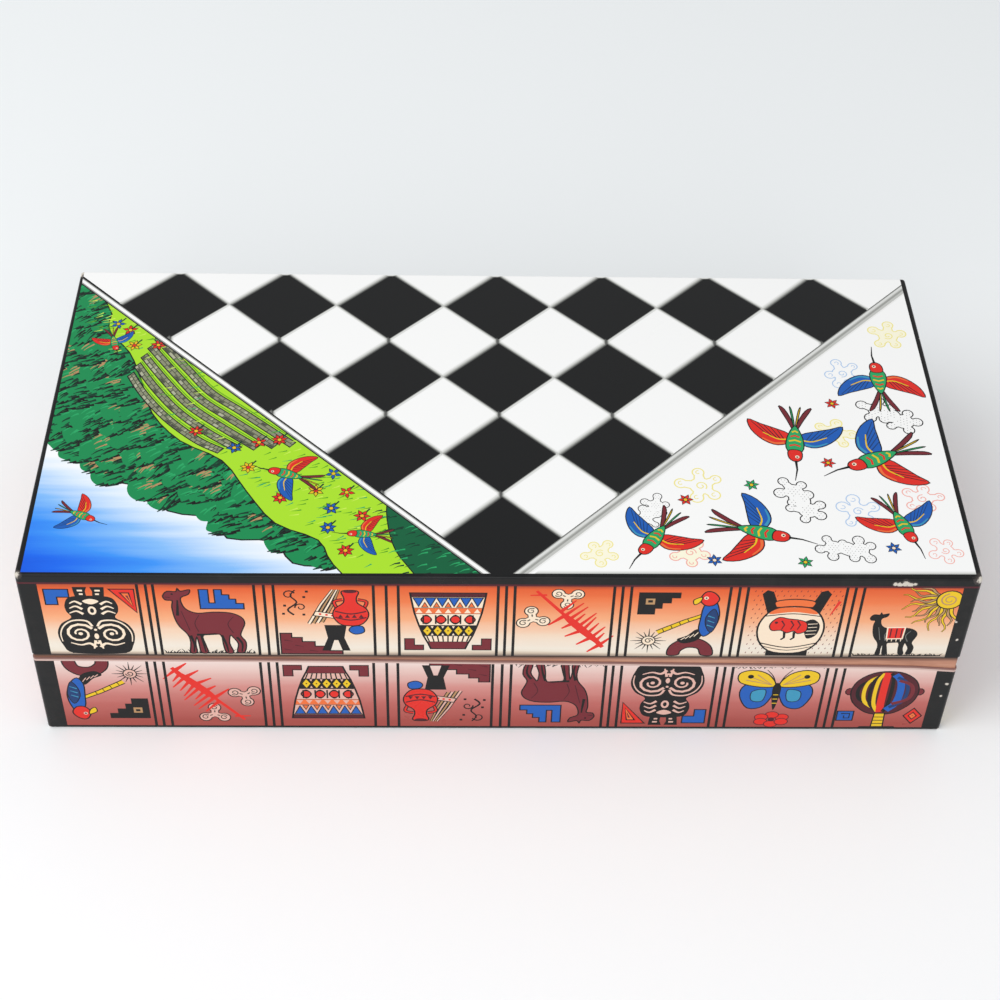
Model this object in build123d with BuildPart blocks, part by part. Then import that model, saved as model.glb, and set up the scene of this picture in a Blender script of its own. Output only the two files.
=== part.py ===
from build123d import *
import os
from math import sqrt

# Folding chess board case: two equal shallow trays, hinged along one long edge.
# Closed, it stores the men. Opened flat, the two outer faces make the board.
# Origin at the centre of the base's underside, +X along the fold, +Y towards
# the hinges, +Z up. Sizes are in millimetres.

# Case
case_width = 320.0  # along the fold, also the side of the square board when opened
tray_height = 39.8  # from a tray's outer face to its rim
seam_gap = 0.4  # between the two rims when closed

# Wood
wall_thickness = 8.0
panel_thickness = 3.0
tongue_thickness = 3.0  # what a long wall keeps over the end of a side wall
rim_rounding = 0.5
felt_thickness = 1.0
felt_clearance = 0.3

# Paper
paper_thickness = 0.5
paper_corner = 1.2  # outside radius round the upright corners
paper_edge = 0.9  # outside radius round the edges of the playing face
sheet_fold = 4.3  # how far the outer sheet turns down the walls
back_fold = 5.0  # how far the back paper turns round the corners
rim_reveal = 0.8  # bare wood between the paper and the rim

# Print, as flush films in the paper's outer face
film_thickness = 0.2
print_line = 0.3  # fine line left between two films
border_width = 2.0  # black border of the playing face
squares_per_side = 8
board_overrun = 2.8  # how far the board's corners lie past the ends of the case
fold_overrun = 0.85  # how far the board's middle diagonal lies past the fold edge
landscape_strip = 2.0  # pale strip between the board and the landscape
ornament_strip = 4.8  # pale strip between the board and the ornaments
front_panels = 8
side_panels = 4
rules_per_group = 3
rule_width = 1.0
rule_pitch = 2.9
end_margin = 5.0  # black margin at each end of the front band

# Hinges
hinge_inset = 55.0  # from each end of the case to the middle of a hinge
hinge_length = 25.0
knuckle_count = 5
knuckle_radius = 1.7
knuckle_gap = 0.15
pin_radius = 0.75
pin_overhang = 0.3
pin_clearance = 0.05
leaf_width = 7.5  # from the hinge axis to the leaf's free edge
leaf_thickness = 0.8
leaf_clearance = 0.1
axis_setback = 0.25  # hinge axis outside the back face
barrel_clearance = 0.25
barrel_end_clearance = 0.6

# Screws
screw_head_radius = 1.5
screw_radius = 0.8
screw_length = 8.0
screw_tip = 1.2
screw_setback = 4.6  # from the hinge axis
screw_spacing = 15.0
screw_clearance = 0.05

# Places that follow from the sizes
case_depth = case_width / 2
case_height = 2 * tray_height + seam_gap
wood_width = case_width - 2 * paper_thickness
wood_depth = case_depth - 2 * paper_thickness
wood_corner = paper_corner - paper_thickness
wood_edge = paper_edge - paper_thickness
wall_foot = paper_thickness + panel_thickness
wall_height = tray_height - wall_foot
side_wall_x = (wood_width - wall_thickness) / 2
long_wall_y = (wood_depth - wall_thickness) / 2
band_top = tray_height - rim_reveal
band_height = band_top - sheet_fold

axis_y = case_depth / 2 + axis_setback
axis_z = tray_height + seam_gap / 2
hinge_spacing = case_width - 2 * hinge_inset
hinge_places = [-hinge_spacing / 2, hinge_spacing / 2]
knuckle_pitch = hinge_length / knuckle_count
barrel_space = knuckle_radius + barrel_clearance
barrel_length = hinge_length + 2 * barrel_end_clearance

# The lid is the base's tray turned over about Y and set on top.
lid_place = Location((0, 0, case_height), (0, 180, 0))

os.makedirs("parts", exist_ok=True)


def write_piece(part, name):
    """Writes one piece under its name."""
    part.label = name
    export_step(part, f"parts/{name}.step")


def write_both(piece, name, name_on_lid=None):
    """Writes a tray piece twice: as it lies in the base, and turned over in the lid."""
    write_piece(piece.part, f"base_{name}")
    write_piece(piece.part.moved(lid_place), f"lid_{name_on_lid or name}")


# Screws and barrels, also used with a clearance to cut the room that they take


def hinge_screws(clearance=0.0):
    """The countersunk screws that go down into the rim, two through each leaf."""
    head_radius = screw_head_radius + clearance
    shank_radius = screw_radius + clearance
    with BuildPart() as screw:
        with BuildSketch(Plane.XZ):
            with BuildLine():
                Polyline(
                    (0, 0),
                    (head_radius, 0),
                    (shank_radius, shank_radius - head_radius),
                    (shank_radius, screw_tip - screw_length),
                    (0, -screw_length),
                    close=True,
                )
            make_face()
        revolve(axis=Axis.Z)
    with BuildPart() as group:
        for hinge_x in hinge_places:
            with Locations((hinge_x, axis_y - screw_setback, tray_height)):
                with GridLocations(screw_spacing, 1, 2, 1):
                    add(screw.part)
    return group


def barrel_notches():
    """The room that the two hinge barrels take in the walls and the back paper."""
    with BuildPart() as room:
        for hinge_x in hinge_places:
            with BuildSketch(Plane.YZ.offset(hinge_x - barrel_length / 2)):
                with Locations((axis_y, axis_z)):
                    Circle(barrel_space)
            extrude(amount=barrel_length)
    return room


# Wooden tray


with BuildPart() as panel:
    with BuildSketch(Plane.XY.offset(paper_thickness)):
        RectangleRounded(wood_width, wood_depth, wood_corner)
    extrude(amount=panel_thickness)
    fillet(panel.faces().sort_by(Axis.Z)[0].edges(), radius=wood_edge)


def long_wall(side):
    """The front wall (side -1) or back wall (side 1), rabbeted at both ends."""
    rabbet = wall_thickness - tongue_thickness
    with BuildPart() as wall:
        with BuildSketch(Plane.XY.offset(wall_foot)):
            RectangleRounded(wood_width, wood_depth, wood_corner)
            with Locations((0, side * long_wall_y)):
                Rectangle(wood_width, wall_thickness, mode=Mode.INTERSECT)
            with Locations((0, side * (wood_depth / 2 - wall_thickness + rabbet / 2))):
                with GridLocations(2 * side_wall_x, 1, 2, 1):
                    Rectangle(wall_thickness, rabbet, mode=Mode.SUBTRACT)
        extrude(amount=wall_height)
        rim_edges = wall.edges().group_by(Axis.Z)[-1].filter_by(Axis.X)
        fillet(rim_edges.sort_by(Axis.Y)[0 if side < 0 else -1], radius=rim_rounding)
    return wall


def side_wall(side):
    """The wall at one short end, held in the long walls' rabbets."""
    with BuildPart() as wall:
        with BuildSketch(Plane.XY.offset(wall_foot)):
            with Locations((side * side_wall_x, 0)):
                Rectangle(wall_thickness, wood_depth - 2 * tongue_thickness)
        extrude(amount=wall_height)
        rim_edges = wall.edges().group_by(Axis.Z)[-1].filter_by(Axis.Y)
        fillet(rim_edges.sort_by(Axis.X)[0 if side < 0 else -1], radius=rim_rounding)
    return wall


front_wall = long_wall(-1)
left_wall = side_wall(-1)
right_wall = side_wall(1)

with BuildPart() as back_wall:
    add(long_wall(1).part)
    with BuildSketch(Plane.XY.offset(tray_height)):
        with Locations((0, axis_y)):
            with GridLocations(hinge_spacing, 1, 2, 1):
                Rectangle(hinge_length + 2 * leaf_clearance, 2 * (leaf_width + leaf_clearance))
    extrude(amount=-leaf_thickness, mode=Mode.SUBTRACT)
    add(barrel_notches().part, mode=Mode.SUBTRACT)
    add(hinge_screws(screw_clearance).part, mode=Mode.SUBTRACT)

with BuildPart() as felt_lining:
    with BuildSketch(Plane.XY.offset(wall_foot)):
        Rectangle(
            wood_width - 2 * (wall_thickness + felt_clearance),
            wood_depth - 2 * (wall_thickness + felt_clearance),
        )
    extrude(amount=felt_thickness)

write_both(panel, "panel")
write_both(front_wall, "front_wall")
write_both(back_wall, "back_wall")
write_both(left_wall, "left_wall", "right_wall")
write_both(right_wall, "right_wall", "left_wall")
write_both(felt_lining, "felt_lining")

# Print of the playing face. The films lie in one shallow recess of the outer sheet.
# The landscape is on the +X side of the base's tray, and so on the lid's -X side.

field_reach = case_width / 2 - border_width
field_front = border_width - case_depth / 2
field_back = case_depth / 2 - paper_edge
grid_reach = case_width / 2 + board_overrun
square_diagonal = 2 * grid_reach / squares_per_side
grid_middle_y = case_depth / 2 + fold_overrun


def grid_edge_x(y):
    """Half the board's width at a place between the front and the fold."""
    return grid_reach - (grid_middle_y - y)


def recess(mode=Mode.ADD):
    """The area of the playing face inside its black border."""
    with Locations((0, (field_front + field_back) / 2)):
        Rectangle(2 * field_reach, field_back - field_front, mode=mode)


def half_recess(side):
    """Keeps what lies in one half of that area, left (-1) or right (1) of its middle."""
    half_width = field_reach - print_line / 2
    with Locations((side * (field_reach - half_width / 2), (field_front + field_back) / 2)):
        Rectangle(half_width, field_back - field_front, mode=Mode.INTERSECT)


def squares(first_row):
    """Every second row of squares from one on, rows counted from the fold."""
    side = square_diagonal / sqrt(2) - print_line
    with BuildPart() as films:
        with BuildSketch():
            for row in range(first_row, squares_per_side, 2):
                row_y = grid_middle_y - row * square_diagonal / 2
                with Locations((0, row_y)):
                    with GridLocations(square_diagonal, 1, squares_per_side - row, 1):
                        Rectangle(side, side, rotation=45)
            recess(Mode.INTERSECT)
        extrude(amount=film_thickness)
    return films


def slanted_film(side, inner, outer):
    """An area along one slanting side of the board, between two distances from it."""
    front_x = grid_edge_x(field_front)
    back_x = grid_edge_x(field_back)
    near = inner * sqrt(2)
    far = outer * sqrt(2)
    with BuildPart() as film:
        with BuildSketch():
            with BuildLine():
                Polyline(
                    (side * (front_x + near), field_front),
                    (side * (back_x + near), field_back),
                    (side * (back_x + far), field_back),
                    (side * (front_x + far), field_front),
                    close=True,
                )
            make_face()
            half_recess(side)
        extrude(amount=film_thickness)
    return film


light_squares = squares(0)
dark_squares = squares(1)
landscape_picture = slanted_film(1, landscape_strip + print_line, case_width)
ornament_picture = slanted_film(-1, ornament_strip + print_line, case_width)

with BuildPart() as border_strips:
    add(slanted_film(1, print_line, landscape_strip).part)
    add(slanted_film(-1, print_line, ornament_strip).part)

with BuildPart() as outer_sheet:
    with BuildSketch():
        RectangleRounded(case_width, case_depth, paper_corner)
    extrude(amount=sheet_fold)
    fillet(outer_sheet.faces().sort_by(Axis.Z)[0].edges(), radius=paper_edge)
    offset(amount=-paper_thickness, openings=outer_sheet.faces().sort_by(Axis.Z)[-1])
    with BuildSketch():
        recess()
    extrude(amount=film_thickness, mode=Mode.SUBTRACT)

write_both(outer_sheet, "outer_sheet")
write_both(light_squares, "light_squares")
write_both(dark_squares, "dark_squares")
write_both(border_strips, "border_strips")
write_both(landscape_picture, "landscape_picture")
write_both(ornament_picture, "ornament_picture")

# Paper round the walls


def paper_band():
    """The ring of paper round the wooden walls, in plan."""
    RectangleRounded(case_width, case_depth, paper_corner)
    RectangleRounded(wood_width, wood_depth, wood_corner, mode=Mode.SUBTRACT)


def back_band(mode):
    """The stretch of the ring that the back paper takes."""
    with Locations((0, (case_depth - back_fold) / 2)):
        Rectangle(case_width, back_fold, mode=mode)


front_pitch = (case_width - end_margin) / front_panels
side_pitch = (case_depth - 2 * paper_corner) / side_panels


def rule_group():
    """Offsets of the rules in one group from its middle."""
    return [(n - (rules_per_group - 1) / 2) * rule_pitch for n in range(rules_per_group)]


with BuildPart() as strip_rules:
    with BuildSketch(Plane.XY.offset(sheet_fold)):
        with Locations((0, (film_thickness - case_depth) / 2)):
            for offset_x in rule_group():
                with Locations((offset_x, 0)):
                    with GridLocations(front_pitch, 1, front_panels - 1, 1):
                        Rectangle(rule_width, film_thickness)
            with GridLocations(case_width - 2 * paper_corner - end_margin, 1, 2, 1):
                Rectangle(end_margin, film_thickness)
        for offset_y in rule_group():
            with Locations((0, offset_y)):
                with GridLocations(case_width - film_thickness, side_pitch, 2, side_panels - 1):
                    Rectangle(film_thickness, rule_width)
    extrude(amount=band_height)

with BuildPart() as picture_strip:
    with BuildSketch(Plane.XY.offset(sheet_fold)):
        paper_band()
        back_band(Mode.SUBTRACT)
    extrude(amount=band_height)
    add(strip_rules.part, mode=Mode.SUBTRACT)

with BuildPart() as back_paper:
    with BuildSketch(Plane.XY.offset(sheet_fold)):
        paper_band()
        back_band(Mode.INTERSECT)
    extrude(amount=band_height)
    add(barrel_notches().part, mode=Mode.SUBTRACT)

write_both(picture_strip, "picture_strip")
write_both(strip_rules, "strip_rules")
write_both(back_paper, "back_paper")

# Hinges. Each leaf lies in its rim and carries every second knuckle.


def leaf(hinge_x, first_knuckle, rim_z, thickness):
    """A hinge leaf whose inner face is at a rim, with its own knuckles on the axis."""
    rim_height = rim_z - axis_z
    first_x = hinge_x - hinge_length / 2
    plate_end = -knuckle_radius - barrel_clearance
    with BuildPart() as piece:
        with BuildSketch(Plane.XY.offset(rim_z)):
            with Locations((hinge_x, axis_y + (plate_end - leaf_width) / 2)):
                Rectangle(hinge_length, leaf_width + plate_end)
        extrude(amount=thickness)
        for number in range(first_knuckle, knuckle_count, 2):
            start_x = first_x + number * knuckle_pitch + knuckle_gap / 2
            with BuildSketch(Plane.YZ.offset(start_x)):
                with Locations((axis_y, axis_z)):
                    Circle(knuckle_radius)
                with BuildLine():
                    Polyline(
                        (axis_y + plate_end, axis_z + rim_height),
                        (axis_y, axis_z + rim_height),
                        (axis_y, axis_z + rim_height + thickness),
                        (axis_y + plate_end, axis_z + rim_height + thickness),
                        close=True,
                    )
                make_face()
                with Locations((axis_y, axis_z)):
                    Circle(pin_radius + pin_clearance, mode=Mode.SUBTRACT)
            extrude(amount=knuckle_pitch - knuckle_gap)
    return piece


with BuildPart() as base_screw_holes:
    add(hinge_screws(screw_clearance).part)

with BuildPart() as lid_screw_holes:
    add(base_screw_holes.part.moved(lid_place))

for side, hinge_x in zip(("left", "right"), hinge_places):
    with BuildPart() as base_leaf:
        add(leaf(hinge_x, 0, tray_height, -leaf_thickness).part)
        add(base_screw_holes.part, mode=Mode.SUBTRACT)
    write_piece(base_leaf.part, f"{side}_hinge_base_leaf")

    with BuildPart() as lid_leaf:
        add(leaf(hinge_x, 1, tray_height + seam_gap, leaf_thickness).part)
        add(lid_screw_holes.part, mode=Mode.SUBTRACT)
    write_piece(lid_leaf.part, f"{side}_hinge_lid_leaf")

    with BuildPart() as pin:
        with BuildSketch(Plane.YZ.offset(hinge_x - hinge_length / 2 - pin_overhang)):
            with Locations((axis_y, axis_z)):
                Circle(pin_radius)
        extrude(amount=hinge_length + 2 * pin_overhang)
        chamfer(pin.edges().filter_by(GeomType.CIRCLE), length=pin_overhang / 2)
    write_piece(pin.part, f"{side}_hinge_pin")

write_both(hinge_screws(), "hinge_screws")
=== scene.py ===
"""Looks of a folding chess board case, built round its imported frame.

The case is two equal wooden trays, hinged along the back. Printed and laminated paper covers
the outer faces and the walls. A print is cut into flat areas of ink that lie flush in the
paper, and it is folded over the edges and round the corners as the real sheet is.

Lengths are in millimetres. On an outer face u runs to the right and v towards the fold, as
seen from outside. On the walls s runs to the right round the tray and h up to the outer face.
"""

import logging
import math
import random
from collections.abc import Callable, Sequence
from dataclasses import dataclass, field
from enum import Enum

import bpy
import numpy as np
from mathutils import Matrix, Vector
from mathutils.geometry import delaunay_2d_cdt


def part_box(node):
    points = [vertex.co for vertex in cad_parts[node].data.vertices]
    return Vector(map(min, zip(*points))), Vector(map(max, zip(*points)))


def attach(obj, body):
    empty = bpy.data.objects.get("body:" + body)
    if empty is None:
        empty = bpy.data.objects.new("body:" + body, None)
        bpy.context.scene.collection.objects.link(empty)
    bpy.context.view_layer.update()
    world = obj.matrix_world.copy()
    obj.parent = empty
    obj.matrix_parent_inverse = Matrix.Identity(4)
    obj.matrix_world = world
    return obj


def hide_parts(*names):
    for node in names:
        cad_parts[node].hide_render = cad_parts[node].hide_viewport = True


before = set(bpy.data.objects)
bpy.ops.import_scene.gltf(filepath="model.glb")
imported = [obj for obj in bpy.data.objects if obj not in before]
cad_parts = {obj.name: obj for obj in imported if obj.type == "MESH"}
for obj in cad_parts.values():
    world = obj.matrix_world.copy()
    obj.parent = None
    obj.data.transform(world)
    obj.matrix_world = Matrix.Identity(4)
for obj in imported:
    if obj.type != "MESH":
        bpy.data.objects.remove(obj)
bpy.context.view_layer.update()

logging.basicConfig(level=logging.INFO, format="%(message)s")
log = logging.getLogger("board_case")

MM = 0.001
Point = tuple[float, float]
Socket = bpy.types.NodeSocket
Inputs = dict[str | int, object]


class Tray(Enum):
    """The two trays of the case."""

    BASE = "base"
    LID = "lid"


class Ink(Enum):
    """Printing inks, by the colour that each gives on white paper."""

    BLACK = "#131415"
    WHITE = "#F8F8F7"
    TONE_DARKEST = "#474847"
    TONE_DEEP = "#71726F"
    TONE_MIDDLE = "#9D9E9A"
    TONE_HALF = "#C2C3BF"
    TONE_LIGHT = "#DCDDDA"
    TONE_FAINT = "#EDEDEB"
    CREAM = "#F3DFC6"
    BLUSH = "#DDB1A4"
    MAROON = "#74262F"
    WINE = "#4F1A24"
    RED = "#DE2C22"
    ORANGE = "#E9713A"
    YELLOW = "#E7C01F"
    BLUE = "#1B5CB4"
    NAVY = "#173A6E"
    TURQUOISE = "#3A94B8"
    LEAF_DEEP = "#0C3A29"
    LEAF = "#158A50"
    LEAF_LIGHT = "#27A463"
    GRASS = "#0B5F3B"
    LIME = "#A9DF2B"
    LIME_LIGHT = "#CBEB5A"
    LIME_DEEP = "#4E9A1E"
    TAN = "#B58D62"
    STONE = "#8B8E74"
    STONE_LIGHT = "#B1B39A"
    STONE_DEEP = "#4A4E40"
    PALE_YELLOW = "#F1E58E"
    PALE_BLUE = "#B2CBEA"
    PALE_PINK = "#F3B0A6"
    PALE_CREAM = "#FAF6DD"
    # The next two are painted shade along the base's side of the seam, under the lid, not printed inks.
    RUBBED = "#8E6A63"
    RUBBED_PALE = "#CDB0A8"
    SKY = "#3F86DE"
    PANEL_GROUND = "#EE9A6C"


def linear_colour(value: str) -> tuple[float, float, float, float]:
    """Turns an sRGB hex colour to linear light.

    Args:
        value: Colour as "#RRGGBB".

    Returns:
        Red, green, blue and alpha for a socket.
    """
    parts = [int(value[place:place + 2], 16) / 255 for place in (1, 3, 5)]
    red, green, blue = (
        part / 12.92 if part <= 0.04045 else ((part + 0.055) / 1.055) ** 2.4 for part in parts
    )
    return red, green, blue, 1.0


def connect(tree: bpy.types.NodeTree, node: bpy.types.Node, inputs: Inputs) -> None:
    """Sets a node's inputs, or links those that are given another node or its socket.

    Args:
        tree: The tree of both.
        node: The node.
        inputs: Values, sockets, or nodes for their first socket, by input name or number.
    """
    for name, value in inputs.items():
        if isinstance(value, bpy.types.Node):
            value = value.outputs[0]
        if isinstance(value, Socket):
            tree.links.new(value, node.inputs[name])
        else:
            node.inputs[name].default_value = value


def add_node(
    tree: bpy.types.NodeTree, kind: str, inputs: Inputs | None = None,
    stops: Sequence[tuple[float, str]] = (), **settings: object,
) -> bpy.types.Node:
    """Adds a node with its settings, values and links.

    Args:
        tree: Tree that gets the node.
        kind: Blender's name for the node type.
        inputs: What its inputs are set or linked to, by name or number.
        stops: Places and hex colours of a colour ramp.
        **settings: The node's own properties.

    Returns:
        The new node.
    """
    node = tree.nodes.new(kind)
    for name, value in settings.items():
        setattr(node, name, value)
    connect(tree, node, inputs or {})
    for number, (place, colour) in enumerate(stops):
        elements = node.color_ramp.elements
        element = elements[number] if number < 2 else elements.new(place)
        element.position = place
        element.color = linear_colour(colour)
    return node


def new_material(name: str) -> tuple[bpy.types.Material, bpy.types.NodeTree, bpy.types.Node, Socket]:
    """Makes an empty node material.

    Args:
        name: The material's name.

    Returns:
        The material, its tree, its Principled node and the place that its patterns follow.
    """
    material = bpy.data.materials.new(name)
    material.use_nodes = True
    tree = material.node_tree
    tree.nodes.clear()
    shader = add_node(tree, "ShaderNodeBsdfPrincipled")
    add_node(tree, "ShaderNodeOutputMaterial", {"Surface": shader})
    return material, tree, shader, add_node(tree, "ShaderNodeTexCoord").outputs["Object"]


def pattern_scale(*sizes: float) -> tuple[float, ...]:
    """Turns pattern sizes in millimetres into a Mapping node's scale."""
    return tuple(1 / (size * MM) for size in sizes)


@dataclass(frozen=True)
class Laminate:
    """Clear film over offset print: glossy, with a faint orange peel and dull handling marks."""

    peel_size: float = 1.1
    peel_height: float = 0.006
    mark_size: float = 34.0
    gloss: float = 0.27
    dullest: float = 0.42
    specular: float = 0.22

    def dress(self, tree: bpy.types.NodeTree, shader: bpy.types.Node, place: Socket, colour: object) -> None:
        """Lays the film over a print.

        Args:
            tree: The material's tree.
            shader: Its Principled node.
            place: The place that the patterns follow.
            colour: The print's colour, or the node that gives it.
        """
        marks = add_node(tree, "ShaderNodeTexNoise", {
            "Vector": place, "Scale": 1 / (self.mark_size * MM), "Detail": 4.0, "Roughness": 0.62,
        })
        peel = add_node(tree, "ShaderNodeTexNoise", {
            "Vector": place, "Scale": 1 / (self.peel_size * MM), "Detail": 2.0,
        })
        connect(tree, shader, {
            "Base Color": colour,
            "Roughness": add_node(tree, "ShaderNodeMapRange", {
                "Value": marks, "From Min": 0.35, "From Max": 0.75,
                "To Min": self.gloss, "To Max": self.dullest,
            }),
            "Normal": add_node(tree, "ShaderNodeBump", {
                "Height": peel, "Distance": self.peel_height * MM, "Strength": 0.6,
            }),
            "Specular IOR Level": self.specular,
        })


@dataclass(frozen=True)
class FlatInk:
    """One offset ink under the laminate: an even colour with crisp edges."""

    ink: Ink
    film: Laminate = Laminate()

    def material(self) -> bpy.types.Material:
        """Makes the ink's material.

        Returns:
            The material.
        """
        material, tree, shader, place = new_material(f"laminated_print_{self.ink.name.lower()}")
        self.film.dress(tree, shader, place, linear_colour(self.ink.value))
        return material


@dataclass(frozen=True)
class BlendedInk:
    """Inks that blend into each other along a line, with the faint cloud of a soft screen."""

    name: str
    start: Vector
    end: Vector
    stops: tuple[tuple[float, str], ...]
    streak_size: tuple[float, float, float]
    streak_depth: float
    turn: float = 0.0
    film: Laminate = Laminate()

    def material(self) -> bpy.types.Material:
        """Makes the blended ground's material.

        Returns:
            The material.
        """
        material, tree, shader, place = new_material(f"laminated_print_{self.name}")
        run = self.end - self.start
        from_start = add_node(tree, "ShaderNodeVectorMath", {0: place, 1: self.start}, operation="SUBTRACT")
        along = add_node(tree, "ShaderNodeVectorMath", {
            0: from_start, 1: run / run.length_squared,
        }, operation="DOT_PRODUCT")
        streaks = add_node(tree, "ShaderNodeMapping", {
            "Vector": place, "Rotation": (0.0, 0.0, self.turn), "Scale": pattern_scale(*self.streak_size),
        })
        cloud = add_node(tree, "ShaderNodeTexNoise", {"Vector": streaks, "Scale": 1.0, "Detail": 3.0})
        shift = add_node(tree, "ShaderNodeMapRange", {
            "Value": cloud, "From Min": 0.3, "From Max": 0.7,
            "To Min": -self.streak_depth, "To Max": self.streak_depth,
        })
        level = add_node(tree, "ShaderNodeMath", {0: along.outputs["Value"], 1: shift}, operation="ADD")
        self.film.dress(tree, shader, place,
                        add_node(tree, "ShaderNodeValToRGB", {"Fac": level}, self.stops))
        return material


@dataclass(frozen=True)
class WornBlackPrint:
    """Black laminated paper, rubbed through to pale pulp where corners and folds are knocked."""

    name: str
    knocks: tuple[tuple[Vector, float], ...]
    black: str = Ink.BLACK.value
    pulp: str = "#CFC8BD"
    scuff: str = "#4A4442"
    dust: str = "#6B6662"
    tear_size: float = 1.3
    dust_size: float = 22.0
    ragged: float = 0.45
    wear_reach: float = 4.5
    film: Laminate = Laminate()

    def material(self) -> bpy.types.Material:
        """Makes the worn black material.

        Returns:
            The material.
        """
        material, tree, shader, place = new_material(f"laminated_paper_{self.name}")
        nearest: bpy.types.Node | None = None
        for spot, radius in self.knocks:
            gap = add_node(tree, "ShaderNodeVectorMath", {0: place, 1: spot}, operation="DISTANCE")
            share = add_node(tree, "ShaderNodeMath", {
                0: gap.outputs["Value"], 1: self.wear_reach * radius * MM,
            }, operation="DIVIDE")
            if nearest is not None:
                share = add_node(tree, "ShaderNodeMath", {0: share, 1: nearest}, operation="MINIMUM")
            nearest = share
        edge = add_node(tree, "ShaderNodeTexNoise", {
            "Vector": place, "Scale": 1 / (self.tear_size * MM), "Detail": 5.0, "Roughness": 0.7,
        })
        torn = add_node(tree, "ShaderNodeMath", {
            0: edge, 1: self.ragged, 2: nearest,
        }, operation="MULTIPLY_ADD")
        rubbed = add_node(tree, "ShaderNodeValToRGB", {"Fac": torn}, (
            (0.0, self.pulp), (0.4, self.pulp), (0.46, self.scuff), (0.6, self.black),
        ))
        cloud = add_node(tree, "ShaderNodeTexNoise", {
            "Vector": place, "Scale": 1 / (self.dust_size * MM), "Detail": 6.0, "Roughness": 0.7,
        })
        dusty = add_node(tree, "ShaderNodeMapRange", {
            "Value": cloud, "From Min": 0.5, "From Max": 0.8, "To Min": 0.0, "To Max": 0.1,
        })
        colour = add_node(tree, "ShaderNodeMix", {
            "Factor": dusty, 6: rubbed, 7: linear_colour(self.dust),
        }, data_type="RGBA")
        self.film.dress(tree, shader, place, colour.outputs[2])
        return material


@dataclass(frozen=True)
class BackPaper:
    """Plain black paper under the laminate, with a leathery press mark and fine scratches."""

    black: str = "#111213"
    worn: str = "#18191A"
    scratch: str = "#3A3836"
    scratch_size: tuple[float, float, float] = (26.0, 1000.0, 0.5)
    film: Laminate = Laminate(peel_size=0.7, peel_height=0.02, gloss=0.34, dullest=0.52)

    def material(self) -> bpy.types.Material:
        """Makes the back paper's material.

        Returns:
            The material.
        """
        material, tree, shader, place = new_material("laminated_paper_plain_black")
        drawn = add_node(tree, "ShaderNodeMapping", {
            "Vector": place, "Rotation": (0.0, 0.35, 0.0), "Scale": pattern_scale(*self.scratch_size),
        })
        scratches = add_node(tree, "ShaderNodeTexNoise", {"Vector": drawn, "Scale": 1.0, "Detail": 3.0})
        self.film.dress(tree, shader, place, add_node(tree, "ShaderNodeValToRGB", {"Fac": scratches}, (
            (0.3, self.black), (0.66, self.worn), (0.76, self.scratch),
        )))
        return material


@dataclass(frozen=True)
class SandedWood:
    """Sanded cedar, bare: pinkish brown, with long grain, fine pores and painted shade on the rim's outer
    edge at the seam.
    """

    name: str
    along_x: bool
    half_width: float
    half_depth: float
    rim: float
    pale: str = "#BC856C"
    dark: str = "#99654F"
    light: str = "#C8967E"
    rim_shade: str = "#24140F"
    grain_width: float = 10.2
    grain_length: float = 90.0
    pore_width: float = 1.275
    pore_length: float = 15.0

    def material(self) -> bpy.types.Material:
        """Makes the wood's material.

        Returns:
            The material.
        """
        material, tree, shader, place = new_material(f"sanded_cedar_{self.name}")
        grain, pores_place = (
            add_node(tree, "ShaderNodeMapping", {"Vector": place, "Scale": pattern_scale(*(
                (long, wide, wide) if self.along_x else (wide, long, wide)
            ))})
            for long, wide in ((self.grain_length, self.grain_width), (self.pore_length, self.pore_width))
        )
        bend = add_node(tree, "ShaderNodeTexNoise", {"Vector": grain, "Scale": 0.7, "Detail": 2.0})
        rings = add_node(tree, "ShaderNodeTexNoise", {
            "Vector": grain, "Scale": 3.0, "Detail": 5.0, "Roughness": 0.6, "Distortion": 0.4,
        })
        mixed = add_node(tree, "ShaderNodeMath", {0: bend, 1: 0.45, 2: rings}, operation="MULTIPLY_ADD")
        colour = add_node(tree, "ShaderNodeValToRGB", {"Fac": mixed}, (
            (0.45, self.dark), (0.72, self.pale), (0.95, self.light),
        ))
        pores = add_node(tree, "ShaderNodeTexNoise", {"Vector": pores_place, "Scale": 1.0, "Detail": 3.0})
        outwards = add_node(tree, "ShaderNodeSeparateXYZ", {
            "Vector": add_node(tree, "ShaderNodeVectorMath", {0: place}, operation="ABSOLUTE"),
        })
        past_side, past_front, over_rim = (
            add_node(tree, "ShaderNodeMath", {0: outwards.outputs[axis], 1: edge * MM}, operation="SUBTRACT")
            for axis, edge in (("X", self.half_width), ("Y", self.half_depth), ("Z", self.rim))
        )
        # Painted shade: near the seam between the trays, the rim's outer edge darkens to near black.
        near_rim = add_node(tree, "ShaderNodeMapRange", {
            "Value": add_node(tree, "ShaderNodeMath", {0: over_rim}, operation="ABSOLUTE"),
            "From Min": 0.45 * MM, "From Max": 2.4 * MM, "To Min": 1.0, "To Max": 0.0,
        })
        near_side = add_node(tree, "ShaderNodeMapRange", {
            "Value": add_node(tree, "ShaderNodeMath", {0: past_side, 1: past_front}, operation="MAXIMUM"),
            "From Min": -3.2 * MM, "From Max": -1.4 * MM,
        })
        rim_shaded = add_node(tree, "ShaderNodeMix", {
            "Factor": add_node(tree, "ShaderNodeMath", {0: near_rim, 1: near_side}, operation="MULTIPLY"),
            6: colour, 7: linear_colour(self.rim_shade),
        }, data_type="RGBA")
        connect(tree, shader, {
            "Base Color": rim_shaded.outputs[2],
            "Roughness": add_node(tree, "ShaderNodeMapRange", {
                "Value": pores, "From Min": 0.3, "From Max": 0.7, "To Min": 0.48, "To Max": 0.66,
            }),
            "Normal": add_node(tree, "ShaderNodeBump", {
                "Height": pores, "Distance": 0.06 * MM, "Strength": 0.5,
            }),
        })
        return material


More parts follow.
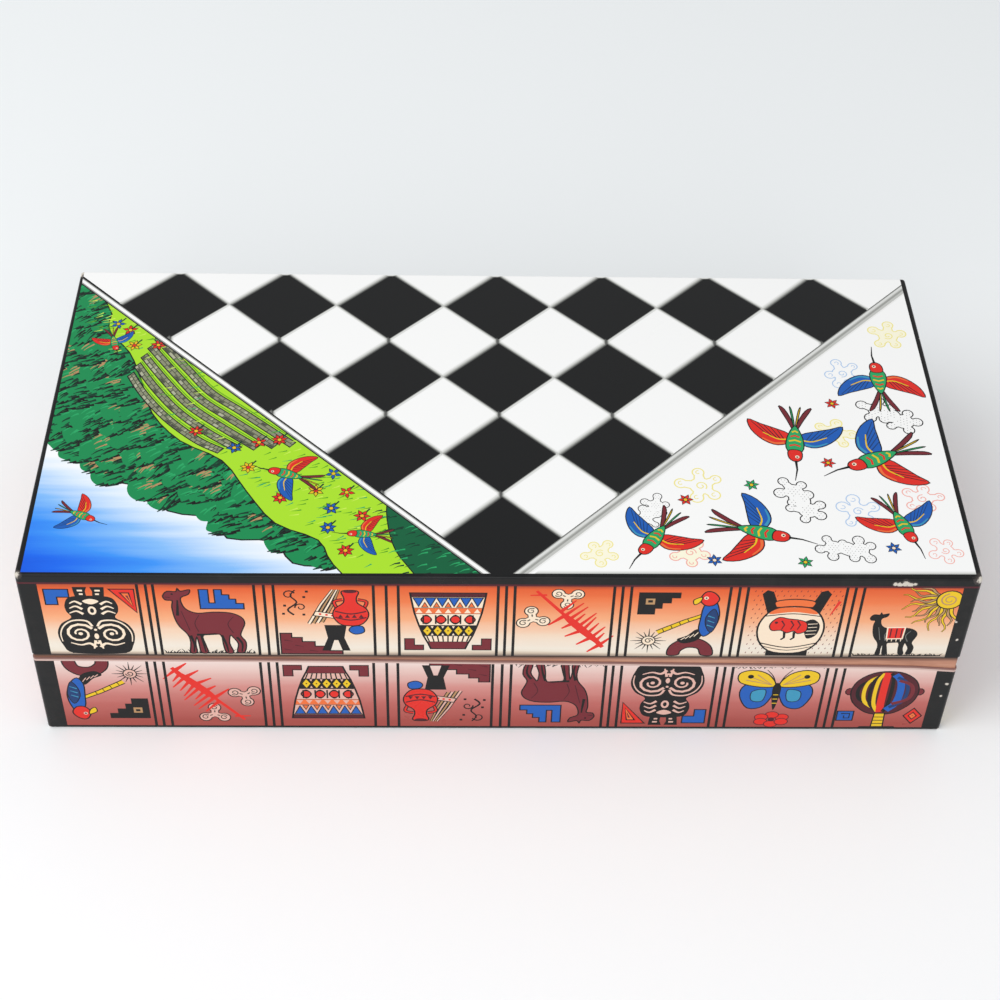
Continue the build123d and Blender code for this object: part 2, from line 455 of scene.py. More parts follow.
@dataclass(frozen=True)
class PoplarPlywood:
    """Poplar plywood: pale, with a broad wild figure."""

    pale: str = "#D8B98A"
    dark: str = "#B98F5C"
    figure_size: tuple[float, float, float] = (120.0, 16.0, 1.0)

    def material(self) -> bpy.types.Material:
        """Makes the plywood's material.

        Returns:
            The material.
        """
        material, tree, shader, place = new_material("poplar_plywood")
        figure_place = add_node(tree, "ShaderNodeMapping", {
            "Vector": place, "Scale": pattern_scale(*self.figure_size),
        })
        figure = add_node(tree, "ShaderNodeTexNoise", {
            "Vector": figure_place, "Scale": 1.0, "Detail": 5.0, "Distortion": 0.8,
        })
        connect(tree, shader, {
            "Base Color": add_node(tree, "ShaderNodeValToRGB", {"Fac": figure}, (
                (0.35, self.dark), (0.62, self.pale),
            )),
            "Normal": add_node(tree, "ShaderNodeBump", {
                "Height": figure, "Distance": 0.05 * MM, "Strength": 0.4,
            }),
            "Roughness": 0.62,
        })
        return material


@dataclass(frozen=True)
class WoolFelt:
    """Pressed wool felt: matt dark green, mottled, with matted fibres and a soft sheen."""

    deep: str = "#0F3B27"
    light: str = "#1E5C3E"
    fibre_size: float = 0.7
    cloud_size: float = 28.0

    def material(self) -> bpy.types.Material:
        """Makes the felt's material.

        Returns:
            The material.
        """
        material, tree, shader, place = new_material("pressed_wool_felt_green")
        fibre = add_node(tree, "ShaderNodeTexNoise", {
            "Vector": place, "Scale": 1 / (self.fibre_size * MM), "Detail": 6.0,
            "Roughness": 0.75, "Distortion": 1.6,
        })
        cloud = add_node(tree, "ShaderNodeTexNoise", {
            "Vector": place, "Scale": 1 / (self.cloud_size * MM), "Detail": 3.0,
        })
        mixed = add_node(tree, "ShaderNodeMath", {0: cloud, 1: 0.25, 2: fibre}, operation="MULTIPLY_ADD")
        connect(tree, shader, {
            "Base Color": add_node(tree, "ShaderNodeValToRGB", {"Fac": mixed}, (
                (0.4, self.deep), (0.85, self.light),
            )),
            "Normal": add_node(tree, "ShaderNodeBump", {
                "Height": fibre, "Distance": 0.35 * MM, "Strength": 0.8,
            }),
            "Roughness": 0.95, "Sheen Weight": 0.35, "Sheen Roughness": 0.5,
        })
        return material


@dataclass(frozen=True)
class StampedBrass:
    """Stamped and tumbled brass: warm yellow metal, fine scratches, brown tarnish in soft patches."""

    name: str
    bright: str = "#D9B465"
    tarnish: str = "#8A6A34"
    scratch_size: float = 0.4
    scratch_length: float = 6.0
    cloud_size: float = 4.0

    def material(self) -> bpy.types.Material:
        """Makes the brass material.

        Returns:
            The material.
        """
        material, tree, shader, place = new_material(f"stamped_brass_{self.name}")
        scratch_place = add_node(tree, "ShaderNodeMapping", {
            "Vector": place, "Rotation": (0.0, 0.0, 0.5),
            "Scale": pattern_scale(self.scratch_length, self.scratch_size, self.scratch_size),
        })
        scratches = add_node(tree, "ShaderNodeTexNoise",
                             {"Vector": scratch_place, "Scale": 1.0, "Detail": 4.0})
        cloud = add_node(tree, "ShaderNodeTexNoise", {
            "Vector": place, "Scale": 1 / (self.cloud_size * MM), "Detail": 5.0, "Roughness": 0.65,
        })
        connect(tree, shader, {
            "Base Color": add_node(tree, "ShaderNodeValToRGB", {"Fac": cloud}, (
                (0.3, self.tarnish), (0.55, self.bright),
            )),
            "Roughness": add_node(tree, "ShaderNodeMapRange", {
                "Value": scratches, "From Min": 0.3, "From Max": 0.7, "To Min": 0.24, "To Max": 0.46,
            }),
            "Normal": add_node(tree, "ShaderNodeBump", {
                "Height": scratches, "Distance": 0.02 * MM, "Strength": 0.4,
            }),
            "Metallic": 1.0,
        })
        return material


@dataclass
class InkBook:
    """The inks of one tray's print: flat ones are shared, blended grounds are its own."""

    grounds: dict[Ink, bpy.types.Material]
    flat: dict[Ink, bpy.types.Material]

    def material(self, ink: Ink) -> bpy.types.Material:
        """Gives an ink's material, made when it is first asked for.

        Args:
            ink: The ink.

        Returns:
            Its material.
        """
        if ink in self.grounds:
            return self.grounds[ink]
        if ink not in self.flat:
            self.flat[ink] = FlatInk(ink).material()
        return self.flat[ink]


def smooth(points: Sequence[Point], closed: bool = True, steps: int = 4) -> list[Point]:
    """Rounds a drawn line with arcs through its points.

    Args:
        points: The drawn points.
        closed: Whether the line returns to its start.
        steps: Short lines between two drawn points.

    Returns:
        The rounded line.
    """
    count = len(points)
    rounded: list[Point] = []
    for number in range(count if closed else count - 1):
        numbers = [number - 1, number, number + 1, number + 2]
        if not closed:
            numbers = [min(max(place, 0), count - 1) for place in numbers]
        a, b, c, d = (points[place % count] for place in numbers)
        for step in range(steps):
            t = step / steps
            rounded.append(tuple(
                0.5 * (2 * b[i] + (c[i] - a[i]) * t + (2 * a[i] - 5 * b[i] + 4 * c[i] - d[i]) * t ** 2
                       + (3 * b[i] - a[i] - 3 * c[i] + d[i]) * t ** 3)
                for i in (0, 1)
            ))
    if not closed:
        rounded.append(points[-1])
    return rounded


def ribbon(points: Sequence[Point], start: float, end: float | None = None) -> list[Point]:
    """Gives the outline of a pen stroke.

    Args:
        points: The stroke's middle line.
        start: Width where it starts.
        end: Width where it ends, the same as the start if left out.

    Returns:
        The outline.
    """
    end = start if end is None else end
    left: list[Point] = []
    right: list[Point] = []
    last = len(points) - 1
    for number, (x, y) in enumerate(points):
        before, after = points[max(number - 1, 0)], points[min(number + 1, last)]
        run_x, run_y = after[0] - before[0], after[1] - before[1]
        length = math.hypot(run_x, run_y) or 1.0
        half = (start + (end - start) * number / last) / 2
        side_x, side_y = -run_y / length * half, run_x / length * half
        left.append((x + side_x, y + side_y))
        right.append((x - side_x, y - side_y))
    return left + right[::-1]


def grown(points: Sequence[Point], amount: float) -> list[Point]:
    """Moves an outline outwards.

    Args:
        points: The outline.
        amount: How far, negative for inwards.

    Returns:
        The moved outline.
    """
    count = len(points)
    area = sum(a[0] * b[1] - b[0] * a[1] for a, b in zip(points, [*points[1:], points[0]]))
    amount = amount if area > 0 else -amount
    moved: list[Point] = []
    for number, (x, y) in enumerate(points):
        before, after = points[number - 1], points[(number + 1) % count]
        normals = []
        for start, end in ((before, (x, y)), ((x, y), after)):
            run_x, run_y = end[0] - start[0], end[1] - start[1]
            length = math.hypot(run_x, run_y) or 1.0
            normals.append((run_y / length, -run_x / length))
        (ax, ay), (bx, by) = normals
        reach = amount / max(1 + ax * bx + ay * by, 0.35)
        moved.append((x + (ax + bx) * reach, y + (ay + by) * reach))
    return moved


def polar(x: float, y: float, radius: float, turn: float) -> Point:
    """Gives the point at a distance and a turn, in radians, from a middle."""
    return x + radius * math.cos(turn), y + radius * math.sin(turn)


def oval(x: float, y: float, radius: float, radius_y: float | None = None, sides: int = 14) -> list[Point]:
    """Gives the outline of a disc or an upright oval.

    Args:
        x: Its middle.
        y: Its middle.
        radius: Its radius to the side.
        radius_y: Its radius upwards, the same if left out.
        sides: Points on it.

    Returns:
        The outline.
    """
    up = radius if radius_y is None else radius_y
    turns = [2 * math.pi * number / sides for number in range(sides)]
    return [(x + radius * math.cos(turn), y + up * math.sin(turn)) for turn in turns]


def box_outline(x0: float, y0: float, x1: float, y1: float) -> list[Point]:
    """Gives a rectangle between two corners."""
    return [(x0, y0), (x1, y0), (x1, y1), (x0, y1)]


def diamond(x: float, y: float, half_width: float, half_height: float) -> list[Point]:
    """Gives a square that stands on its corner, or a slimmer one."""
    return [(x - half_width, y), (x, y - half_height), (x + half_width, y), (x, y + half_height)]


def mirrored(half: Sequence[Point], middle: float = 0.0) -> list[Point]:
    """Gives the outline whose right half runs along some points, about an upright line."""
    return [(middle + x, y) for x, y in half] + [(middle - x, y) for x, y in half[::-1]]


def spiral(x: float, y: float, outer: float, inner: float, start: float, turns: float) -> list[Point]:
    """Gives the middle line of a scroll.

    Args:
        x: Its middle.
        y: Its middle.
        outer: Radius where it starts.
        inner: Radius where it ends.
        start: Turn where it starts, in degrees.
        turns: How many turns it makes, negative for clockwise.

    Returns:
        The line.
    """
    count = max(int(abs(turns) * 12), 3)
    line = []
    for number in range(count + 1):
        share = number / count
        radius = outer + (inner - outer) * share
        turn = math.radians(start) + 2 * math.pi * turns * share
        line.append(polar(x, y, radius, turn))
    return line


@dataclass(frozen=True)
class Patch:
    """One closed area of ink and the film or sheet that it belongs to."""

    ink: Ink
    outline: tuple[Point, ...]
    plate: str = ""


@dataclass
class Drawing:
    """Areas of ink in the order of printing: a later one covers an earlier one."""

    patches: list[Patch] = field(default_factory=list)

    def area(self, ink: Ink, outline: Sequence[Point], plate: str = "") -> None:
        """Fills an outline, on one plate if it is named."""
        self.patches.append(Patch(ink, tuple(outline), plate))

    def fill(self, ink: Ink, *outlines: Sequence[Point]) -> None:
        """Fills straight-sided outlines with an ink."""
        for outline in outlines:
            self.area(ink, outline)

    def lined(self, ink: Ink, outline: Sequence[Point], width: float = 0.5, line: Ink = Ink.BLACK) -> None:
        """Fills an outline and draws a line round it.

        Args:
            ink: The filling.
            outline: The outline, in the middle of the line.
            width: The line's width.
            line: The line's ink.
        """
        self.fill(line, grown(outline, width / 2))
        self.fill(ink, grown(outline, -width / 2))

    def both(self, ink: Ink, *outlines: Sequence[Point]) -> None:
        """Fills outlines and their mirror images across the drawing's middle."""
        for outline in outlines:
            self.fill(ink, outline, [(-x, y) for x, y in outline])

    def stroke(self, ink: Ink, points: Sequence[Point], start: float, end: float | None = None) -> None:
        """Draws a pen stroke of a given width, or of two widths at its ends."""
        self.fill(ink, ribbon(points, start, end))

    def curve(self, ink: Ink, points: Sequence[Point], start: float, end: float | None = None) -> None:
        """Draws a pen stroke that is rounded through its points."""
        self.stroke(ink, smooth(points, False), start, end)

    def shape(self, ink: Ink, points: Sequence[Point], width: float = 0.5, steps: int = 4) -> None:
        """Fills an outline that is rounded through its points, and draws a line round it."""
        self.lined(ink, smooth(points, steps=steps), width)

    def add(
        self, other: "Drawing", x: float = 0.0, y: float = 0.0, turn: float = 0.0,
        size: float = 1.0, flipped: bool = False, swap: dict[Ink, Ink] | None = None, plate: str = "",
    ) -> None:
        """Prints another drawing into this one.

        Args:
            other: The drawing.
            x: Where its origin goes.
            y: Where its origin goes.
            turn: How far it is turned, in degrees.
            size: Its scale.
            flipped: Whether its left and right are exchanged.
            swap: Inks that are replaced.
            plate: The plate that it goes on, if it has none yet.
        """
        cosine, sine = math.cos(math.radians(turn)) * size, math.sin(math.radians(turn)) * size
        side = -1 if flipped else 1
        for patch in other.patches:
            self.area((swap or {}).get(patch.ink, patch.ink), [
                (x + side * px * cosine - py * sine, y + side * px * sine + py * cosine)
                for px, py in patch.outline
            ], patch.plate or plate)

    def mapped(self, change: Callable[[float, float], Point], plate: str) -> "Drawing":
        """Gives the drawing with every point moved, for one plate.

        Args:
            change: Gives a point's new place.
            plate: The plate that the areas belong to.

        Returns:
            The moved drawing.
        """
        return Drawing([
            Patch(patch.ink, tuple(change(x, y) for x, y in patch.outline), plate)
            for patch in self.patches
        ])


class Motif(Enum):
    """The pictures of the strip, one to a panel, in their order round the tray."""

    GOURD = 0
    LLAMA = 1
    JUG = 2
    BOWL = 3
    THORNS = 4
    PARROT = 5
    VESSEL = 6
    PACK_LLAMA = 7
    STRIPED_POT = 8
    BUTTERFLY = 9


@dataclass
class PanelPictures:
    """Draws the strip's pictures: x from the panel's middle, y up from the rim's side."""

    line: float = 0.5

    def draw(self, motif: Motif) -> Drawing:
        """Draws one panel's picture, by the method that has the motif's name."""
        return getattr(self, motif.name.lower())()

    def gourd(self) -> Drawing:
        """A black gourd with cream scrolls, a blue step and a red nested corner.

        Returns:
            The drawing.
        """
        d = Drawing()
        half = [(8.6, 0), (12.2, 4.2), (13.3, 10.5), (11.4, 15.6), (7.6, 18.8), (8.9, 22), (8.9, 26),
                (6, 29.6)]
        d.fill(Ink.BLACK, smooth(mirrored(half)))
        d.both(Ink.BLACK, [(0.9, 28), (1.2, 32.2), (0.5, 34.4), (5.4, 34.4), (5.2, 31.6), (4.8, 28)])
        d.fill(Ink.BLACK, box_outline(-9.5, 0, 9.5, 1.6))
        scroll = spiral(5.6, 10.4, 5.2, 1.5, 150, -1.45)
        d.both(Ink.CREAM, ribbon(scroll, 1.15, 0.7), oval(5.4, 10.3, 0.8))
        rim = [(12.1, 6.2), (12.3, 10.4), (10.6, 14.6), (7.2, 17.2), (2.6, 17.0), (0.9, 14.2)]
        d.both(Ink.CREAM, ribbon(smooth(rim, False), 0.35, 0.9))
        d.both(Ink.CREAM, ribbon(smooth([(0.8, 3.2), (2.8, 5.2), (6.0, 4.4), (9.4, 5.6)], False), 1.3, 0.4))
        d.both(Ink.CREAM, ribbon(smooth([(1.6, 2.4), (1.1, 4.6), (0.6, 6.8)], False), 0.5, 1.1))
        for rise in (0.0, 2.5, 5.0):
            curl = smooth([(7.9 - rise * 0.12, 21 + rise), (5.4, 22.1 + rise), (3.2, 20.6 + rise)], False)
            d.both(Ink.CREAM, ribbon(curl, 0.4, 1.1))
        d.fill(Ink.CREAM, oval(0, 22.4, 1.5, 2.2), smooth([(-2.8, 27.2), (0, 25.6), (2.8, 27.2), (0, 28.4)]))
        d.fill(Ink.BLACK, oval(0, 22.4, 0.7, 1.2))
        d.fill(Ink.CREAM, oval(0, 9.0, 0.8, 1.5), oval(0, 12.4, 0.55), oval(0, 5.4, 0.55))
        d.both(Ink.CREAM, box_outline(2.1, 30.4, 3.4, 31.2), box_outline(2.1, 32.2, 3.9, 33.0))
        step = [(-15.4, 25.4), (-11.2, 25.4), (-11.2, 29.2), (-7.0, 29.2), (-7.0, 33.2), (-15.4, 33.2)]
        d.lined(Ink.BLUE, step, self.line)
        corner = [(6.8, 33.4), (15.4, 21.4), (15.4, 33.4)]
        d.lined(Ink.RED, corner, self.line)
        d.lined(Ink.ORANGE, grown(corner, -1.9), self.line)
        d.fill(Ink.MAROON, grown(corner, -3.2))
        return d

    def standing_llama(self) -> Drawing:
        """A standing llama, seen from its left side, without its ground.

        Returns:
            The drawing.
        """
        d = Drawing()
        body = [
            (-14.2, 30.0), (-12.6, 32.4), (-9.6, 32.3), (-8.9, 33.9), (-7.9, 32.5), (-4.8, 33.3),
            (-5.4, 30.9), (-8.1, 29.2), (-7.9, 25.6), (-6.4, 22.9), (-3.0, 21.3), (2.4, 21.9), (8.2, 21.5),
            (11.8, 19.4), (12.9, 16.2), (11.7, 12.4), (11.1, 9.6), (12.7, 6.0), (11.9, 0.9), (9.3, 0.9),
            (9.9, 5.2), (8.4, 8.6), (7.4, 9.7), (6.9, 5.4), (8.0, 0.6), (5.4, 0.6), (4.6, 5.2), (3.9, 10.2),
            (-2.0, 9.7), (-1.6, 5.0), (-1.0, 0.6), (-3.4, 0.6), (-3.9, 5.4), (-4.4, 8.9), (-5.0, 5.0),
            (-4.9, 0.6), (-7.2, 0.6), (-6.7, 6.0), (-7.4, 10.2), (-9.8, 14.2), (-11.1, 18.6), (-11.6, 24.4),
            (-11.2, 27.6), (-13.4, 28.0),
        ]
        d.shape(Ink.MAROON, body, self.line, 3)
        d.curve(Ink.WINE, [(-2.6, 20.4), (-4.4, 16.0), (-3.4, 11.6)], 0.3, 0.5)
        d.curve(Ink.WINE, [(9.2, 19.6), (7.0, 15.6), (8.6, 11.0)], 0.3, 0.5)
        d.curve(Ink.WINE, [(-8.6, 22.4), (-7.4, 17.0), (-6.4, 12.2)], 0.3, 0.45)
        for crease in (
            ((-6.4, 9.6), (-5.5, 5.0), (-6.0, 0.8)), ((-2.6, 9.8), (-2.2, 5.0), (-1.8, 0.8)),
            ((9.6, 8.8), (11.3, 5.4), (10.9, 1.0)), ((4.4, 9.8), (5.6, 5.4), (6.2, 0.8)),
            ((-4.2, 10.0), (0.0, 10.2), (3.8, 10.4)), ((-10.0, 20.0), (-9.6, 25.0), (-9.4, 28.0)),
        ):
            d.curve(Ink.BLACK, crease, 1.1, 0.45)
        d.stroke(Ink.BLACK, [(-13.6, 29.5), (-11.8, 29.3)], 0.25)
        d.fill(Ink.BLACK, oval(-11.0, 31.0, 0.42, sides=8))
        return d

    def grass(self, d: Drawing, x0: float, x1: float, seed: int, height: float = 2.6) -> None:
        """Draws a row of grass strokes along the rim's side.

        Args:
            d: The drawing.
            x0: Where the row starts.
            x1: Where the row ends.
            seed: Seed for the strokes.
            height: The tallest stroke.
        """
        draw = random.Random(seed)
        d.fill(Ink.BLACK, box_outline(x0, 0, x1, 0.5))
        x = x0
        while x < x1:
            tip = (x + draw.uniform(-1.4, 1.4), draw.uniform(0.35, 1.0) * height)
            d.stroke(Ink.BLACK, [(x, 0.2), (x + (tip[0] - x) * 0.3, tip[1] * 0.6), tip], 0.6, 0.15)
            x += draw.uniform(0.4, 0.8)

    def llama(self) -> Drawing:
        """A maroon llama on grass, with a blue stepped fret.

        Returns:
            The drawing.
        """
        d = Drawing()
        self.grass(d, -15.6, 15.6, 21)
        d.add(self.standing_llama())
        fret = [
            (-1.8, 23.6), (13.2, 23.6), (13.2, 26.4), (10.6, 26.4), (10.6, 28.6), (8.4, 28.6), (8.4, 30.8),
            (6.0, 30.8), (6.0, 33.4), (3.4, 33.4), (3.4, 26.6), (1.4, 26.6), (1.4, 33.4), (-1.8, 33.4),
        ]
        d.lined(Ink.BLUE, fret, self.line)
        return d

    def jug(self) -> Drawing:
        """A red jug on a black stand over maroon stairs, with a reed bundle and a small curl.

        Returns:
            The drawing.
        """
        d = Drawing()
        stairs = [
            (-16, 0), (5.6, 0), (5.6, 1.8), (1.2, 1.8), (1.2, 4.2), (-4.0, 4.2), (-4.0, 6.6), (-8.4, 6.6),
            (-8.4, 8.8), (-12.0, 8.8), (-12.0, 11.0), (-16, 11.0),
        ]
        d.lined(Ink.MAROON, stairs, self.line)
        for x, y in ((-13.2, 7.4), (-9.4, 4.6), (-4.4, 2.0), (-13.4, 2.6)):
            d.stroke(Ink.WINE, [(x - 1.6, y), (x + 1.4, y - 0.7)], 0.5, 0.2)
        stand = [(-1.6, 1.8), (0.6, 8.6), (-0.4, 15.4), (7.4, 15.4), (6.4, 8.6), (8.4, 1.8), (5.6, 1.8),
                 (4.2, 7.4), (2.8, 7.4), (1.4, 1.8)]
        d.fill(Ink.BLACK, stand)
        for shift in (0.0, 1.5, 3.0, 4.5):
            reed = [(-5.6 + shift, 16.0 + shift * 0.2), (-1.2 + shift * 0.9, 26.0),
                    (3.0 + shift * 0.5, 33.6)]
            d.stroke(Ink.BLACK, reed, 1.5, 0.9)
            d.stroke(Ink.CREAM if shift in (0.0, 3.0) else Ink.TAN, reed, 0.8, 0.4)
        d.lined(Ink.CREAM, [(-4.0, 20.4), (3.6, 18.8), (4.2, 21.0), (-3.2, 22.6)], 0.4)
        d.fill(Ink.RED, oval(-1.6, 21.1, 0.5), oval(0.6, 20.7, 0.5), oval(2.6, 20.3, 0.5))
        for side in (-1, 1):
            handle = [(9.0 + side * 2.6, 28.6), (9.0 + side * 5.6, 27.4), (9.0 + side * 4.2, 23.2)]
            d.curve(Ink.BLACK, handle, 1.5)
            d.curve(Ink.RED, handle, 0.7)
        half = [(1.8, 33.2), (3.0, 32.2), (2.2, 29.6), (2.5, 26.8), (5.4, 24.0), (6.2, 20.4), (4.6, 16.8),
                (2.2, 15.2)]
        d.shape(Ink.RED, mirrored(half, 9), self.line, 3)
        d.fill(Ink.WINE, oval(9, 32.6, 2.3, 0.7))
        for y in (22.6, 19.4):
            d.curve(Ink.WINE, [(3.6, y), (9, y - 1.4), (14.4, y)], 0.6)
        for x in (5.4, 7.8, 10.2, 12.6):
            d.fill(Ink.WINE, [(x - 0.9, 19.2), (x, 21.0), (x + 0.9, 19.2)])
        d.shape(Ink.BLUE, [(9.2, 14.6), (12.8, 14.8), (13.4, 11.8), (10.4, 10.6), (8.2, 12.4)], 0.45)
        d.curve(Ink.BLACK, [(-10.6, 20.6), (-12.6, 23.4), (-9.4, 27.0), (-11.4, 30.4), (-9.8, 33.4)], 0.8,
                0.5)
        d.stroke(Ink.BLACK, spiral(-12.0, 31.0, 2.2, 0.7, 20, 1.1), 0.6, 0.4)
        d.stroke(Ink.BLACK, spiral(-8.2, 24.6, 2.0, 0.6, 190, -1.1), 0.6, 0.4)
        for x, y in ((-6.8, 29.8), (-5.8, 32.6), (-13.6, 25.4), (-14.2, 21.2), (-7.2, 20.8)):
            d.fill(Ink.BLACK, box_outline(x - 0.5, y - 0.5, x + 0.5, y + 0.5))
        return d

    def bowl(self) -> Drawing:
        """A flared bowl in painted bands, with two maroon steps.

        Returns:
            The drawing.
        """
        d = Drawing()
        levels = [(3.2, 6.0), (6.0, 6.9), (10.0, 8.5), (16.0, 10.2), (22.0, 11.6), (28.0, 12.5),
                  (32.0, 13.0)]

        def half(y: float) -> float:
            """Gives half the bowl's width at a height.

            Args:
                y: The height.

            Returns:
                Half the width.
            """
            for (y0, w0), (y1, w1) in zip(levels, levels[1:]):
                if y <= y1:
                    return w0 + (w1 - w0) * (y - y0) / (y1 - y0)
            return levels[-1][1]

        def belt(y0: float, y1: float, inset: float = 0.0) -> list[Point]:
            """Gives the outline of one painted band."""
            return [(-half(y0) + inset, y0), (half(y0) - inset, y0), (half(y1) - inset, y1),
                    (-half(y1) + inset, y1)]

        side = [(half(y), y) for y, _ in levels]
        d.fill(Ink.BLACK, grown(mirrored(side), 0.45))
        bands = (
            (Ink.MAROON, 3.2, 6.6), (Ink.CREAM, 6.9, 9.8), (Ink.BLACK, 9.8, 15.4), (Ink.CREAM, 15.6, 21.4),
            (Ink.ORANGE, 21.6, 24.4), (Ink.CREAM, 24.6, 30.0), (Ink.WINE, 30.2, 32.0),
        )
        for ink, y0, y1 in bands:
            d.fill(ink, belt(y0, y1, 0.25))
        for number in range(9):
            share = (number - 4) / 4.5
            d.stroke(Ink.BLACK, [(share * half(7.2), 6.9), (share * half(9.6), 9.8)], 0.5)
        for number in range(5):
            share = (number - 2) / 2.5
            x = share * half(12.6) * 0.98
            d.fill(Ink.YELLOW, [(x - 1.4, 12.6), (x, 10.2), (x + 1.4, 12.6), (x, 15.0)])
            d.fill(Ink.BLACK, oval(x, 12.6, 0.35, sides=6))
        for number in range(4):
            x = (number - 1.5) / 2 * half(12.6) * 0.8
            d.fill(Ink.CREAM, [(x - 0.5, 10.2), (x + 0.5, 10.2), (x, 11.4)],
                   [(x - 0.5, 15.0), (x + 0.5, 15.0), (x, 13.8)])
        for number in range(4):
            x = (number - 1.5) / 2 * half(18.5) * 0.94
            d.fill(Ink.BLACK, smooth([(x - 2.1, 18.4), (x, 15.9), (x + 2.1, 18.4), (x, 21.1)]))
            d.fill(Ink.RED, oval(x, 18.5, 1.5, 1.7, 10))
        for number in range(5):
            x = (number - 2) / 2.5 * half(18.5)
            d.fill(Ink.BLACK, box_outline(x - 0.3, 16.2, x + 0.3, 20.8))
        for number in range(7):
            x = (number - 3) / 3.5 * half(23.0)
            d.fill(Ink.CREAM, [(x - 1.2, 21.9), (x + 1.2, 21.9), (x, 24.0)])
        for number in range(6):
            x = (number - 2.5) / 3 * half(27.0) * 0.99
            d.lined(Ink.BLUE, [(x - 1.9, 29.7), (x, 25.2), (x + 1.9, 29.7)], 0.4)
        for number in range(5):
            x = (number - 2) / 3 * half(26.0) * 0.99
            d.lined(Ink.ORANGE, [(x - 1.1, 24.9), (x, 27.4), (x + 1.1, 24.9)], 0.3)
        step = [(-15.2, 2.4), (-8.6, 2.4), (-8.6, 5.0), (-11.8, 5.0), (-11.8, 8.4), (-15.2, 8.4)]
        d.lined(Ink.MAROON, step, 0.4)
        d.lined(Ink.MAROON, [(-x, y) for x, y in step], 0.4)
        return d

    def knot(self) -> Drawing:
        """A three-lobed knot in outline, with curls in its lobes.

        Returns:
            The drawing.
        """
        d = Drawing()
        lobes = [(0, 4.4), (-3.9, -2.0), (3.9, -2.0)]
        for ink, radius, width in ((Ink.BLACK, 2.9, 3.6), (Ink.CREAM, 2.4, 2.8)):
            for x, y in lobes:
                d.fill(ink, oval(x, y, radius, sides=16), ribbon([(0, 0), (x, y)], width))
        for x, y in lobes:
            d.stroke(Ink.BLACK, spiral(x, y, 1.7, 0.5, 40, 1.2), 0.5, 0.35)
            d.stroke(Ink.BLACK, [(x * 0.25, y * 0.25), (x * 0.55, y * 0.55)], 0.5)
        return d

    def thorns(self) -> Drawing:
        """A red thorn branch, brushed slantwise, and two outlined knots.

        Returns:
            The drawing.
        """
        d = Drawing()
        d.add(self.knot(), 1.2, 30.2, 178, 0.86)
        d.add(self.knot(), -10.6, 19.2, 8, 0.9)
        draw = random.Random(5)
        start, end = (-9.6, 33.4), (14.6, 4.2)
        d.stroke(Ink.RED, [start, (0.2, 21.4), end], 1.1, 1.6)
        d.fill(Ink.RED, smooth([(0.2, 21.8), (3.4, 19.6), (12.0, 9.6), (14.4, 5.0), (9.4, 8.6), (3.6, 14.8),
                                (0.2, 19.6)]))
        for number in range(10):
            share = 0.36 + 0.066 * number
            x, y = start[0] + (end[0] - start[0]) * share, start[1] + (end[1] - start[1]) * share
            reach = draw.uniform(5.5, 8.5) * (1.1 - 0.35 * abs(share - 0.6))
            lean = draw.uniform(-0.5, 0.5)
            up = (x + reach * (0.62 + lean * 0.3), y + reach * 0.78)
            down = (x - reach * 0.7, y - reach * (0.5 + lean * 0.3))
            d.stroke(Ink.RED, [(x, y), up], 1.6, 0.5)
            if number % 2:
                d.stroke(Ink.RED, [(x, y), down], 1.9, 0.6)
        d.stroke(Ink.RED, [(-11.8, 31.2), (-6.0, 31.4)], 0.5, 1.0)
        return d

    def parrot(self) -> Drawing:
        """A blue and red parrot on a maroon arch, with a yellow branch, a fret and a starburst.

        Returns:
            The drawing.
        """
        d = Drawing()
        fret = [
            (-14.4, 33.0), (0.2, 33.0), (0.2, 30.0), (-2.8, 30.0), (-2.8, 27.4), (-5.8, 27.4), (-5.8, 24.6),
            (-8.2, 24.6), (-8.2, 21.6), (-14.4, 21.6),
        ]
        d.fill(Ink.BLACK, fret)
        d.fill(Ink.TAN, box_outline(-11.8, 26.8, -8.6, 29.8))
        d.fill(Ink.BLACK, box_outline(-11.0, 27.8, -9.4, 29.0))
        for number in range(16):
            turn = math.radians(360 * number / 16)
            reach = 5.0 if number % 2 else 6.4
            d.stroke(Ink.BLACK, [polar(-9.4, 7.8, 2.0, turn), polar(-9.4, 7.8, reach, turn)], 0.6, 0.15)
        d.lined(Ink.CREAM, oval(-9.4, 7.8, 2.4), 0.4)
        d.stroke(Ink.BLACK, spiral(-9.4, 7.8, 1.5, 0.4, 0, 1.3), 0.4)
        arch = smooth([(-2.2, 0.2), (-1.6, 5.0), (2.6, 8.6), (8.4, 8.8), (12.8, 5.2), (13.8, 0.2),
                       (9.8, 0.2), (8.4, 3.6), (4.8, 4.2), (2.4, 2.4), (1.6, 0.2)])
        d.lined(Ink.MAROON, arch, self.line)
        branch = [(-6.6, 12.2), (2.6, 18.0), (9.4, 21.6)]
        d.stroke(Ink.BLACK, branch, 2.5, 1.9)
        d.stroke(Ink.YELLOW, branch, 1.6, 1.1)
        for x, y in ((-4.6, 13.3), (-1.8, 15.1), (1.0, 16.9), (3.8, 18.5)):
            d.stroke(Ink.BLACK, [(x - 0.3, y + 0.7), (x + 0.3, y - 0.7)], 0.35)
        tail = smooth([(9.4, 12.0), (7.6, 8.0), (3.0, 6.4), (0.6, 8.6), (4.0, 10.6), (7.2, 14.0)])
        d.fill(Ink.BLACK, tail)
        for number in range(4):
            d.stroke(Ink.CREAM, [(2.0 + number * 1.5, 8.3 + number * 0.6),
                                 (3.4 + number * 1.5, 9.6 + number * 0.9)], 0.35)
        body = smooth([(11.2, 30.4), (13.6, 26.0), (14.4, 19.6), (12.6, 13.2), (9.8, 10.2), (7.8, 13.6),
                       (8.0, 20.0), (8.6, 26.0)])
